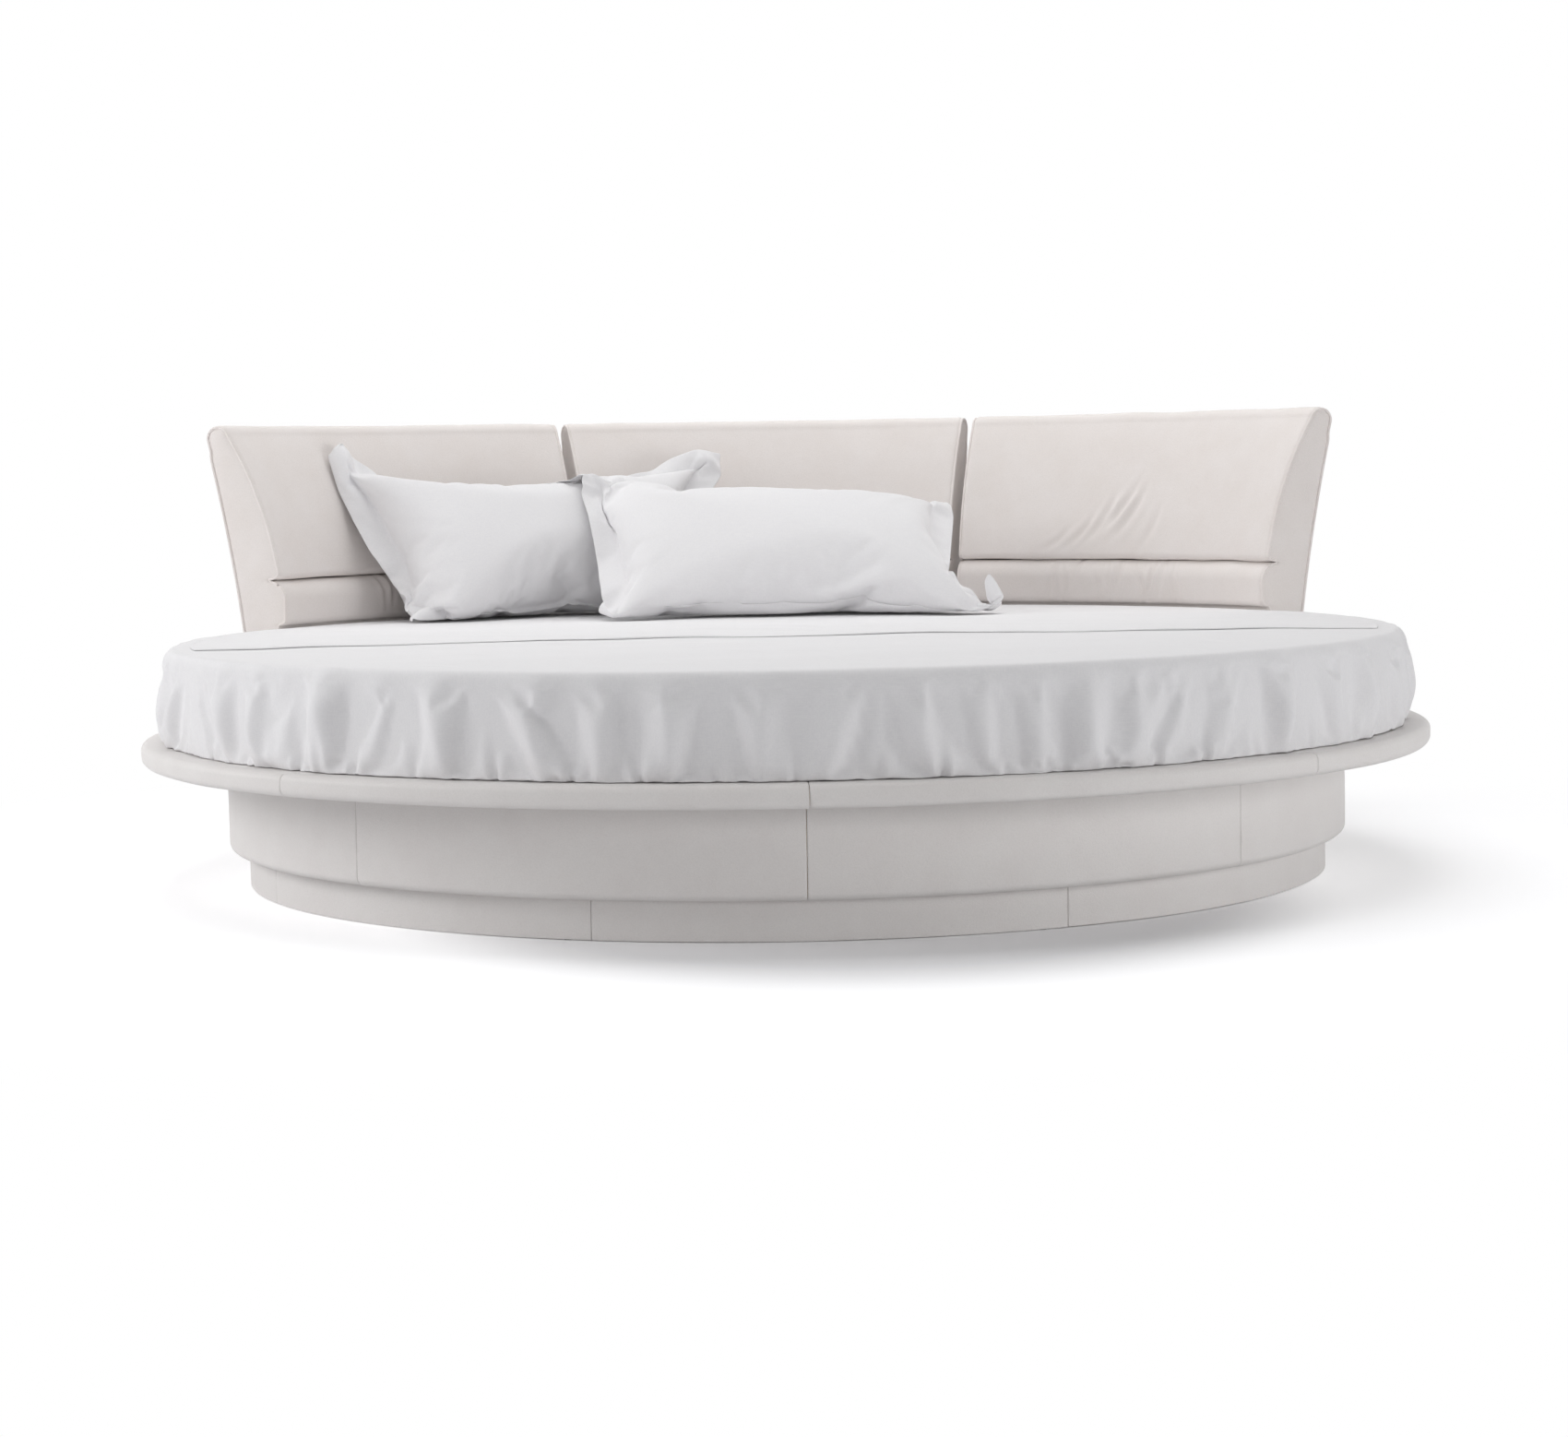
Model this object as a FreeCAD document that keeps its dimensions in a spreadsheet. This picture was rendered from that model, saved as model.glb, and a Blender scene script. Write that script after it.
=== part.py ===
"""Round upholstered bed: plinth, drum, ledge, slatted base, mattress and bedding, and a headboard of
three curved modules that each recline on hinges at their foot.

Frame: millimetres, +Z up, floor at Z = 0, the bed's own axis at X = Y = 0. The foot end faces -Y and the
headboard stands on the +Y side. A heading is an angle about Z from +X, so the headboard's middle is at 90.
"""
import FreeCAD, Part
import math
import os
import Sketcher

doc = FreeCAD.newDocument("round_bed")
sheet = doc.addObject("Spreadsheet::Sheet", "sizes")

# Driving sizes: millimetres, degrees where the note says so.
SIZES = (
    # floor and plinth
    ("glide_height", 3, "glides lift the wood off the floor"),
    ("glide_radius", 9, "round glides under the hoop and the beams"),
    ("centre_glide_radius", 40, "larger glide on the bed's axis"),
    ("plinth_height", 70, "floor to the underside of the drum"),
    ("plinth_inset", 36, "drum's leather to the plinth's leather"),
    ("plinth_seam_turn", 25, "degrees from the foot to the plinth's first seam"),
    ("beam_width", 36, "crossed beams inside the plinth"),
    # drum
    ("drum_height", 162, "underside of the drum to the underside of the ledge"),
    ("drum_edge_round", 12, "rounded lower edge of the drum"),
    ("drum_base_width", 181.5, "radial width of the drum's base panel"),
    ("rib_reach", 143.5, "radial length of the ribs inside the drum"),
    # ledge
    ("ledge_reach", 52, "mattress's side to the outer edge of the ledge"),
    ("ledge_overhang", 154.5, "outer edge of the ledge to the drum's leather"),
    ("ledge_thickness", 38, "leather to leather"),
    ("ledge_edge_round", 14, "rounded outer edge of the ledge"),
    ("board_width", 196, "radial width of the ledge's board"),
    ("wrap_width", 120, "leather on top of the ledge, in under the mattress"),
    # materials
    ("leather", 4, "leather on its thin wadding"),
    ("plywood", 18, "curved and flat plywood"),
    ("seam_gap", 0.6, "open line between two sewn panels"),
    ("fit_gap", 0.3, "clearance where a wooden piece drops into another"),
    # slatted base
    ("rail_width", 48, "rim and middle rail of a slatted half"),
    ("rail_height", 22, "rails, from the board's underside up"),
    ("slat_pad", 4, "rubber pad under each slat's end"),
    ("slat_pad_length", 34, "along the slat"),
    ("slat_width", 68, "beech slat"),
    ("slat_thickness", 8, "beech slat"),
    ("slat_pitch", 130, "from slat to slat"),
    ("slat_margin", 80, "room left free beyond the first and last slat"),
    ("slat_end_gap", 8, "slat's end to the rim's outer edge"),
    ("frame_gap", 1.2, "slatted half to the ledge's opening, and slat to slat at the middle rails"),
    ("post_side", 60, "square posts under the middle rails"),
    ("post_pitch", 450, "from post to post"),
    # mattress and bedding
    ("mattress_radius", 1148, "free round of the mattress"),
    ("mattress_thickness", 170, "foot to top"),
    ("mattress_top_round", 35, "upper edge"),
    ("mattress_foot_round", 18, "lower edge"),
    ("press_depth", 17, "how far the headboard presses the mattress in"),
    ("pressed_span", 129, "degrees of the pressed part"),
    ("cloth", 2, "sheet with its folds"),
    ("turndown_foot", 200, "hem of the turned-down sheet, towards the foot"),
    ("turndown_head", 400, "fold of the turned-down sheet, towards the head"),
    ("turndown_inset", 40, "from the mattress's side to the turned-down sheet"),
    # pillows
    ("pillow_width", 720, "body of a pillow"),
    ("pillow_length", 400, "body of a pillow, up its slope"),
    ("pillow_thickness", 130, "at its middle"),
    ("pillow_flange", 45, "flat border of the case"),
    ("flange_thickness", 3, "two layers of cotton"),
    ("flange_foot_inset", 6, "how far the border ends above the pillow's foot"),
    ("pillow_rest_gap", 0.4, "foot of a pillow to the sheet"),
    ("rear_pillow_setback", 300, "headboard's front to the middle of the pillow's foot"),
    ("rear_pillow_heading", 125.75, "degrees, where that middle lies round the bed"),
    ("rear_pillow_tilt", 35, "degrees back from upright"),
    ("rear_pillow_yaw", 20, "degrees about Z"),
    ("front_pillow_setback", 656, "headboard's front to the middle of the pillow's foot"),
    ("front_pillow_heading", 89, "degrees, where that middle lies round the bed"),
    ("front_pillow_tilt", 52, "degrees back from upright"),
    ("front_pillow_yaw", -2, "degrees about Z"),
    # headboard
    ("module_span", 41.6, "degrees of one module"),
    ("module_gap", 1.1, "degrees between two modules"),
    ("module_lift", 12, "top of the ledge to the underside of a module"),
    ("back_inset", 6, "ledge's edge to where the line of the back would meet the floor"),
    ("back_flare_radius", 3200, "radius of the back's flare, centred at floor level"),
    ("pad_gap", 5, "pressed side of the mattress to the lower pad behind it"),
    ("pad_foot_cut", 14, "lower pad's foot, cut back for the tilt"),
    ("pad_foot_slope", 22, "height of that cut-back"),
    ("overhang_gap", 6, "top of the mattress to where the lower pad comes over it"),
    ("pad_reach", 13, "how far the lower pad comes over the mattress"),
    ("pad_rise", 59, "height of the lower pad's upright front"),
    ("tuck_rise", 34, "height over which the lower pad turns in to the tuck"),
    ("tuck_round", 41, "rounding from the lower pad's front in to the tuck"),
    ("tuck_inset", 27, "lower pad's front to the bottom of the tuck"),
    ("roll_inset", 15, "lower pad's front to the upper pad's front just above the tuck"),
    ("roll_round", 14, "rounding above the tuck"),
    ("upper_rise", 299, "tuck to the front of the crest"),
    ("front_flare_radius", 736, "front of the upper pad, which leans back more towards the crest"),
    ("crest_width", 56.5, "front to back of the crest"),
    ("crest_drop", 8, "crest's front to its back"),
    ("crest_rise", 23.8, "rounding over the crest"),
    ("back_seam_drop", 30, "crest's back to the seam between back and upper pad"),
    ("end_panel", 4, "leather panel that closes a module's end"),
    # hinges
    ("hinge_rise", 34, "top of the ledge to the hinge line"),
    ("hinge_inset", 14.37, "inside of the plywood shell to the hinge line, at a module's middle"),
    ("hinge_offset", 90, "module's middle to each hinge"),
    ("pocket_depth", 16, "hinge line to the front wall of the space for the hinges"),
    ("pocket_gap", 4, "room above the straps"),
    ("pin_radius", 4.5, "hinge pin"),
    ("pin_length", 40, "hinge pin"),
    ("bore_gap", 0.2, "pin to the bore that turns on it"),
    ("knuckle_radius", 7.5, "moving knuckle"),
    ("knuckle_length", 22, "moving knuckle"),
    ("strap_width", 18, "moving strap up the plywood shell"),
    ("strap_thickness", 5, "moving strap"),
    ("strap_drop", 10, "strap's lower end under the hinge line"),
    ("strap_length", 136, "moving strap"),
    ("lug_radius", 8, "fixed lug round the pin"),
    ("lug_thickness", 5, "fixed lug"),
    ("lug_gap", 1, "lug to knuckle"),
    ("lug_width", 8, "shank of the lug"),
    ("lug_setback", 4, "hinge line to the shank of the lug"),
    ("foot_plate_reach", 20, "lug to the inner edge of the fixed foot plate"),
    ("foot_plate_width", 60, "along the ledge"),
    ("foot_plate_thickness", 4, "fixed foot plate"),
    ("screw_spacing", 44, "two screws through each foot plate"),
    ("screw_radius", 2.5, "shank"),
    ("screw_length", 24, "shank below the foot plate"),
    ("screw_head_radius", 5, "head"),
    ("screw_head_height", 3.5, "head"),
)
PANELS = 8          # sewn leather panels round each of the three bands
MODULES = (("left", 1), ("centre", 0), ("right", -1))
THROUGH = 2         # length of a cutter over that of what it passes through


class Size:
    """A length or angle of the bed: its value now, and the formula that ties it to the sheet."""

    def __init__(self, value, formula):
        self.value = value
        self.formula = formula

    def __add__(self, other):
        return combined(self, "+", other, self.value + value_of(other))

    def __sub__(self, other):
        return combined(self, "-", other, self.value - value_of(other))

    def __mul__(self, other):
        return combined(self, "*", other, self.value * value_of(other))

    def __truediv__(self, other):
        return combined(self, "/", other, self.value / value_of(other))

    def __rmul__(self, other):
        return combined(other, "*", self, value_of(other) * self.value)

    def __neg__(self):
        return combined(0, "-", self, -self.value)


def value_of(size):
    return size.value if isinstance(size, Size) else size


def formula_of(size):
    return size.formula if isinstance(size, Size) else str(size)


def combined(left, sign, right, value):
    return Size(value, "(%s %s %s)" % (formula_of(left), sign, formula_of(right)))


def root(size):
    return Size(math.sqrt(size.value), "sqrt(%s)" % size.formula)


def sine(angle):
    return Size(math.sin(math.radians(angle.value)), "sin(%s)" % angle.formula)


def cosine(angle):
    return Size(math.cos(math.radians(angle.value)), "cos(%s)" % angle.formula)


def degrees_along(length, radius):
    """The angle that a length takes up along a circle."""
    return length / radius * round(math.degrees(1), 9)


class Sizes:
    """The sheet's cells by name."""


s = Sizes()
for row, (alias, number, note) in enumerate(SIZES, start=1):
    sheet.set("A%d" % row, alias)
    sheet.set("B%d" % row, str(number))
    sheet.set("C%d" % row, note)
    sheet.setAlias("B%d" % row, alias)
    setattr(s, alias, Size(float(number), "sizes.%s" % alias))
doc.recompute()


# ---------------------------------------------------------------- building helpers
def bind(thing, prop, size):
    """Sets a property to a size, and ties it to the sheet."""
    thing.setExpression(prop, formula_of(size))


def put(thing, x=0, y=0, z=0, axis=(0, 0, 1), turn=0):
    """Places a thing: turned by an angle about an axis through its origin, then moved."""
    place = FreeCAD.Vector(value_of(x), value_of(y), value_of(z))
    thing.Placement = FreeCAD.Placement(place, FreeCAD.Rotation(FreeCAD.Vector(*axis), value_of(turn)))
    for name, size in (("Base.x", x), ("Base.y", y), ("Base.z", z), ("Rotation.Angle", turn)):
        if isinstance(size, Size):
            bind(thing, "Placement." + name, size)
    return thing


def new_body(label):
    body = doc.addObject("PartDesign::Body", label)
    body.Label = label
    return body


def origin_plane(body, role):
    return next(plane for plane in body.Origin.OriginFeatures if plane.Role == role)


def arc_middle(start, end, radius):
    """Middle of the arc from start to end that bulges to the right of that way (left if radius < 0)."""
    chord = end - start
    half = chord.Length / 2
    rise = abs(radius) - math.sqrt(radius * radius - half * half)
    right = FreeCAD.Vector(chord.y, -chord.x, 0).normalize()
    return (start + end) * 0.5 + right * math.copysign(rise, radius)


def draw(body, role, corners):
    """A closed outline on one of the body's own planes. A corner is (x, y), or (x, y, radius) where the
    side to the next corner is an arc: above zero it bulges to the right, below zero to the left."""
    sketch = body.newObject("Sketcher::SketchObject", body.Label + "_outline")
    sketch.AttachmentSupport = [(origin_plane(body, role), "")]
    sketch.MapMode = "FlatFace"
    points = [FreeCAD.Vector(value_of(c[0]), value_of(c[1]), 0) for c in corners]
    starts = []
    ends = []
    for index, corner in enumerate(corners):
        start = points[index]
        end = points[(index + 1) % len(points)]
        if len(corner) == 3:
            side = sketch.addGeometry(Part.Arc(start, arc_middle(start, end, value_of(corner[2])), end))
        else:
            side = sketch.addGeometry(Part.LineSegment(start, end))
        first = 1 if sketch.getPoint(side, 1).distanceToPoint(start) < 1e-6 else 2
        starts.append((side, first))
        ends.append((side, 3 - first))
    for index, corner in enumerate(corners):
        side, first = starts[index]
        sketch.addConstraint(Sketcher.Constraint("Coincident", *ends[index - 1], side, first))
        for kind, size, axis in (("DistanceX", corner[0], -2), ("DistanceY", corner[1], -1)):
            if isinstance(size, Size):
                rule = Sketcher.Constraint(kind, -1, 1, side, first, size.value)
                bind(sketch, "Constraints[%d]" % sketch.addConstraint(rule), size)
            else:
                sketch.addConstraint(Sketcher.Constraint("PointOnObject", side, first, axis))
        if len(corner) == 3:
            radius = corner[2] if value_of(corner[2]) > 0 else -corner[2]
            rule = Sketcher.Constraint("Radius", side, value_of(radius))
            bind(sketch, "Constraints[%d]" % sketch.addConstraint(rule), radius)
    return sketch


def turned(label, corners, span=None, heading=0):
    """A body turned about Z from an outline of (radius, height) corners: a full ring, or a sector whose
    middle is at the heading."""
    body = new_body(label)
    turn = body.newObject("PartDesign::Revolution", label + "_turn")
    turn.Profile = draw(body, "XZ_Plane", corners)
    turn.ReferenceAxis = (turn.Profile[0], ["V_Axis"])
    turn.Midplane = True
    turn.Angle = 360
    if span is not None:
        bind(turn, "Angle", span)
    return put(body, turn=heading)


def padded(label, role, corners, length, both_ways=False):
    """A body with straight sides, raised from an outline on one of its planes."""
    body = new_body(label)
    pad = body.newObject("PartDesign::Pad", label + "_pad")
    pad.Profile = draw(body, role, corners)
    pad.Midplane = both_ways
    bind(pad, "Length", length)
    return body


def box(label, x, y, z):
    """A box as (low, high) along each axis."""
    block = doc.addObject("Part::Box", label)
    bind(block, "Length", x[1] - x[0])
    bind(block, "Width", y[1] - y[0])
    bind(block, "Height", z[1] - z[0])
    return put(block, x[0], y[0], z[0])


def rod(label, radius, length, x=0, y=0, z=0, axis=(0, 0, 1), turn=0):
    """A cylinder that stands up from a point, or is turned about an axis through it."""
    cylinder = doc.addObject("Part::Cylinder", label)
    bind(cylinder, "Radius", radius)
    bind(cylinder, "Height", length)
    return put(cylinder, x, y, z, axis, turn)


def group(label, things, heading=0):
    compound = doc.addObject("Part::Compound", label)
    compound.Label = label
    compound.Links = things
    return put(compound, turn=heading)


def fused(label, things):
    union = doc.addObject("Part::MultiFuse", label)
    union.Label = label
    union.Shapes = things
    return union


def cut(label, base, tool):
    rest = doc.addObject("Part::Cut", label)
    rest.Label = label
    rest.Base = base
    rest.Tool = tool
    return rest


def shared(label, first, second):
    common = doc.addObject("Part::Common", label)
    common.Label = label
    common.Base = first
    common.Tool = second
    return common


nodes = []          # every piece that is written out, in order


def keep(piece):
    nodes.append(piece)
    return piece


# ---------------------------------------------------------------- levels and radii that pieces share
FOOT = -90                                      # heading of the foot end
panel_pitch = 360 / PANELS
ring_radius = s.mattress_radius + s.ledge_reach
drum_radius = ring_radius - s.ledge_overhang
plinth_radius = drum_radius - s.plinth_inset
ring_underside = s.plinth_height + s.drum_height
ring_top = ring_underside + s.ledge_thickness
base_underside = s.plinth_height + s.leather    # wood of the drum stands on the plinth's wood
base_top = base_underside + s.plywood
board_underside = ring_underside + s.leather
board_top = ring_top - s.leather
plinth_wood = plinth_radius - s.leather
plinth_inside = plinth_wood - s.plywood
drum_wood = drum_radius - s.leather
drum_inside = drum_wood - s.plywood
drum_base_inner = drum_wood - s.drum_base_width
drum_wood_round = s.drum_edge_round - s.leather
ring_wood = ring_radius - s.leather
ring_wood_round = s.ledge_edge_round - s.leather
ring_inner = ring_wood - s.board_width
ring_wrap_inner = ring_radius - s.wrap_width
mattress_top = ring_top + s.mattress_thickness
mattress_pressed = s.mattress_radius - s.press_depth
sheet_top = mattress_top + s.cloth


# ---------------------------------------------------------------- plinth
def half_beam(label, heading, notch_up):
    """One of two crossed beams, halved into each other at the bed's axis."""
    half = s.beam_width / 2
    reach = root(plinth_inside * plinth_inside - half * half) - s.fit_gap
    middle = (base_underside + s.glide_height) / 2
    whole = box(label + "_bar", (-reach, reach), (-half, half), (s.glide_height, base_underside))
    notch_half = half + s.fit_gap
    low, high = (middle, base_underside) if notch_up else (s.glide_height, middle)
    notch = box(label + "_notch", (-notch_half, notch_half), (-half, half), (low, high))
    return group(label, [cut(label + "_halved", whole, notch)], heading)


def plinth():
    keep(turned("plinth_hoop", [
        (plinth_inside, s.glide_height), (plinth_wood, s.glide_height),
        (plinth_wood, base_underside), (plinth_inside, base_underside)]))
    keep(half_beam("plinth_beam_long", 90, True))
    keep(half_beam("plinth_beam_cross", 0, False))
    span = Size(panel_pitch, str(panel_pitch)) - degrees_along(s.seam_gap, plinth_radius)
    panels = []
    for index in range(PANELS):
        heading = s.plinth_seam_turn + (FOOT + panel_pitch * (index + 0.5))
        panels.append(turned("plinth_panel_%d" % (index + 1), [
            (plinth_wood, s.glide_height), (plinth_radius, s.glide_height),
            (plinth_radius, s.plinth_height), (plinth_wood, s.plinth_height)], span, heading))
    keep(group("plinth_cover", panels))


def glides():
    hoop_middle = (plinth_inside + plinth_wood) / 2
    beam_middle = plinth_inside / 2
    pads = [rod("glide_middle", s.centre_glide_radius, s.glide_height)]
    for index in range(PANELS):
        turn = math.radians(panel_pitch * (index + 0.5))
        pads.append(rod("glide_hoop_%d" % index, s.glide_radius, s.glide_height,
                        hoop_middle * math.cos(turn), hoop_middle * math.sin(turn)))
    for index, (x, y) in enumerate(((1, 0), (0, 1), (-1, 0), (0, -1))):
        pads.append(rod("glide_beam_%d" % index, s.glide_radius, s.glide_height,
                        beam_middle * x, beam_middle * y))
    keep(group("glides", pads))


# ---------------------------------------------------------------- drum
def drum():
    wood_corner = drum_wood - drum_wood_round
    keep(turned("drum_base", [
        (drum_base_inner, base_underside), (wood_corner, base_underside, drum_wood_round),
        (drum_wood, base_underside + drum_wood_round), (drum_wood, base_top),
        (drum_base_inner, base_top)]))
    keep(turned("drum_hoop", [
        (drum_inside, base_top), (drum_wood, base_top),
        (drum_wood, board_underside), (drum_inside, board_underside)]))
    ribs = []
    for index in range(PANELS):
        rib = box("drum_rib_%d" % index, (drum_inside - s.rib_reach, drum_inside - s.fit_gap),
                  (-s.plywood / 2, s.plywood / 2), (base_top, board_underside))
        ribs.append(group("drum_rib_set_%d" % index, [rib], panel_pitch * (index + 0.5)))
    keep(group("drum_ribs", ribs))
    posts = []
    half = s.post_side / 2
    for index in (-1, 0, 1):
        y = s.post_pitch * index
        posts.append(box("centre_post_%d" % (index + 2), (-half, half), (y - half, y + half),
                         (base_underside, board_underside)))
    keep(group("centre_posts", posts))
    span = Size(panel_pitch, str(panel_pitch)) - degrees_along(s.seam_gap, drum_radius)
    outer_corner = drum_radius - s.drum_edge_round
    for index in range(PANELS):
        keep(turned("drum_cover_%d" % (index + 1), [
            (plinth_radius, s.plinth_height), (outer_corner, s.plinth_height, s.drum_edge_round),
            (drum_radius, s.plinth_height + s.drum_edge_round), (drum_radius, board_underside),
            (drum_wood, board_underside), (drum_wood, base_underside + drum_wood_round, -drum_wood_round),
            (wood_corner, base_underside), (plinth_radius, base_underside)],
            span, FOOT + panel_pitch * (index + 0.5)))


# ---------------------------------------------------------------- ledge
def ledge(screw_holes):
    corner = ring_wood - ring_wood_round
    board = turned("ring_board_blank", [
        (ring_inner, board_underside), (corner, board_underside, ring_wood_round),
        (ring_wood, board_underside + ring_wood_round), (ring_wood, board_top - ring_wood_round,
                                                         ring_wood_round),
        (corner, board_top), (ring_inner, board_top)])
    keep(cut("ring_board", board, screw_holes))
    span = Size(panel_pitch, str(panel_pitch)) - degrees_along(s.seam_gap, ring_radius)
    outer = ring_radius - s.ledge_edge_round
    for index in range(PANELS):
        cover = turned("ring_cover_blank_%d" % (index + 1), [
            (drum_radius, ring_underside), (outer, ring_underside, s.ledge_edge_round),
            (ring_radius, ring_underside + s.ledge_edge_round),
            (ring_radius, ring_top - s.ledge_edge_round, s.ledge_edge_round),
            (outer, ring_top), (ring_wrap_inner, ring_top), (ring_wrap_inner, board_top),
            (corner, board_top, -ring_wood_round), (ring_wood, board_top - ring_wood_round),
            (ring_wood, board_underside + ring_wood_round, -ring_wood_round),
            (corner, board_underside), (drum_radius, board_underside)],
            span, FOOT + panel_pitch * (index + 0.5))
        keep(cut("ring_cover_%d" % (index + 1), cover, screw_holes))


# ---------------------------------------------------------------- slatted base
rim = ring_inner - s.frame_gap
slat_underside = board_underside + s.rail_height + s.slat_pad


def half_frame(label, heading):
    """A D-shaped frame: half a rim and a middle rail."""
    edge = s.fit_gap
    inner_edge = edge + s.rail_width
    inner_rim = rim - s.rail_width
    tip = root(rim * rim - edge * edge)
    inner_tip = root(inner_rim * inner_rim - inner_edge * inner_edge)
    whole = padded(label + "_outer", "XY_Plane", [
        (edge, -tip, rim), (rim, 0, rim), (edge, tip)], s.rail_height)
    hollow = padded(label + "_hollow", "XY_Plane", [
        (inner_edge, -inner_tip, inner_rim), (inner_rim, 0, inner_rim), (inner_edge, inner_tip)],
        s.rail_height)
    frame = group(label, [cut(label + "_rails", whole, hollow)])
    return put(frame, z=board_underside, turn=heading)


def slatted_base():
    keep(half_frame("slat_frame_right", 0))
    keep(half_frame("slat_frame_left", 180))
    slats = []
    pads = []
    half = s.slat_width / 2
    start = s.frame_gap
    room = rim.value - s.slat_margin.value
    count = int(2 * room / s.slat_pitch.value)
    for index in range(count):
        y = s.slat_pitch * (index - (count - 1) / 2)
        far = y + half if y.value > 0 else half - y
        reach = rim - s.slat_end_gap
        end = root(reach * reach - far * far)
        pad_start = end - s.slat_pad_length
        for side, heading in (("right", 0), ("left", 180)):
            name = "%s_%d" % (side, index)
            slat = box("slat_" + name, (start, end), (y - half, y + half),
                       (slat_underside, slat_underside + s.slat_thickness))
            slats.append(group("slat_set_" + name, [slat], heading))
            height = (slat_underside - s.slat_pad, slat_underside)
            inner = box("pad_inner_" + name, (start, start + s.slat_pad_length), (y - half, y + half), height)
            outer = box("pad_outer_" + name, (pad_start, end), (y - half, y + half), height)
            pads.append(group("pad_set_" + name, [inner, outer], heading))
    keep(group("slats", slats))
    keep(group("slat_pads", pads))


# ---------------------------------------------------------------- mattress and bedding
def pressed_disc(label, skin, foot_round):
    """The mattress's round, pressed in where the headboard stands. The skin is what lies over it."""
    side = s.mattress_radius + skin
    top = mattress_top + skin
    top_round = s.mattress_top_round + skin
    corners = [(0, ring_top)]
    if foot_round:
        corners.append((side - foot_round, ring_top, foot_round))
        corners.append((side, ring_top + foot_round))
    else:
        corners.append((side, ring_top))
    corners += [(side, top - top_round, top_round), (side - top_round, top), (0, top)]
    body = turned(label, corners, heading=90)
    press = body.newObject("PartDesign::Groove", label + "_press")
    inner = mattress_pressed + skin
    outer = side + s.mattress_foot_round
    low = ring_top - s.mattress_foot_round
    high = top + s.mattress_foot_round
    press.Profile = draw(body, "XZ_Plane", [(inner, low), (outer, low), (outer, high), (inner, high)])
    press.ReferenceAxis = (press.Profile[0], ["V_Axis"])
    press.Midplane = True
    bind(press, "Angle", s.pressed_span)
    return body


def bedding():
    no_skin = s.cloth * 0
    mattress = keep(pressed_disc("mattress", no_skin, s.mattress_foot_round))
    keep(cut("fitted_sheet", pressed_disc("fitted_sheet_outside", s.cloth, None), mattress))
    disc = rod("turndown_disc", s.mattress_radius - s.turndown_inset, s.cloth, z=sheet_top)
    reach = s.mattress_radius
    strip = box("turndown_strip", (-reach, reach), (-s.turndown_foot, s.turndown_head),
                (sheet_top, sheet_top + s.cloth))
    keep(shared("sheet_turndown", disc, strip))


def lens(label, role, width, thickness, length):
    """A bar with a pointed oval section."""
    half = width / 2
    rise = thickness / 2
    radius = (half * half + rise * rise) / (rise * 2)
    return padded(label, role, [(-half, 0, radius), (half, 0, radius)], length, both_ways=True)


def pillow(label, setback, heading, tilt, yaw):
    """A pillow in its flanged case. Its foot rests on the sheet, setback in from the headboard's front at
    a heading, and it leans back by tilt degrees from upright and is turned by yaw degrees about Z."""
    across = lens(label + "_across", "XZ_Plane", s.pillow_width, s.pillow_thickness,
                  s.pillow_length * THROUGH)
    along = lens(label + "_along", "YZ_Plane", s.pillow_length, s.pillow_thickness,
                 s.pillow_width * THROUGH)
    body = shared(label + "_body", across, along)
    half_width = s.pillow_width / 2 + s.pillow_flange
    half_length = s.pillow_length / 2
    half_flange = s.flange_thickness / 2
    foot = half_length - s.flange_foot_inset
    flange = box(label + "_flange", (-half_width, half_width), (-foot, half_length + s.pillow_flange),
                 (-half_flange, half_flange))
    cased = fused(label + "_cased", [body, flange])
    slope = -tilt + 90
    put(cased, y=half_length * cosine(slope), z=half_length * sine(slope), axis=(1, 0, 0), turn=slope)
    leaning = group(label, [cased])
    reach = pad_front - setback
    return put(leaning, reach * cosine(heading), reach * sine(heading), sheet_top + s.pillow_rest_gap,
               turn=yaw)


# ---------------------------------------------------------------- headboard
module_foot = ring_top + s.module_lift
back_foot_radius = ring_radius - s.back_inset
pad_inner = mattress_pressed + s.pad_gap
pad_foot_inner = pad_inner + s.pad_foot_cut
pad_front = mattress_pressed - s.pad_reach
pad_overhang = mattress_top + s.overhang_gap
pad_bend = pad_overhang + s.pad_rise
tuck_height = pad_bend + s.tuck_rise
tuck_radius = pad_front + s.tuck_inset
roll_front = pad_front + s.roll_inset
crest_height = tuck_height + s.upper_rise
crest_back_height = crest_height - s.crest_drop
back_seam = crest_back_height - s.back_seam_drop
hinge_height = ring_top + s.hinge_rise
strap_foot = hinge_height - s.strap_drop
strap_top = strap_foot + s.strap_length
pocket_top = strap_top + s.pocket_gap


def back_face(height, inset=0):
    """Radius of a surface that lies inset behind the back's flared face, at a height."""
    radius = s.back_flare_radius + inset
    return back_foot_radius + s.back_flare_radius - root(radius * radius - height * height)


shell_face = s.leather                          # the plywood shell lies inside the back's leather
shell_inside = s.leather + s.plywood
shell_foot = module_foot + s.leather
crest_front = back_face(crest_back_height) - s.crest_width
crest_half_chord_squared = (s.crest_width * s.crest_width + s.crest_drop * s.crest_drop) / 4
crest_round = (crest_half_chord_squared + s.crest_rise * s.crest_rise) / (s.crest_rise * 2)
hinge_radius = back_face(hinge_height, shell_inside) - s.hinge_inset
pocket_front = hinge_radius - s.pocket_depth
lug_outer = hinge_radius - s.lug_setback
lug_inner = lug_outer - s.lug_width
foot_plate_inner = lug_inner - s.foot_plate_reach
screw_line = (foot_plate_inner + lug_inner) / 2         # radius of the foot plates' screws


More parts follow.
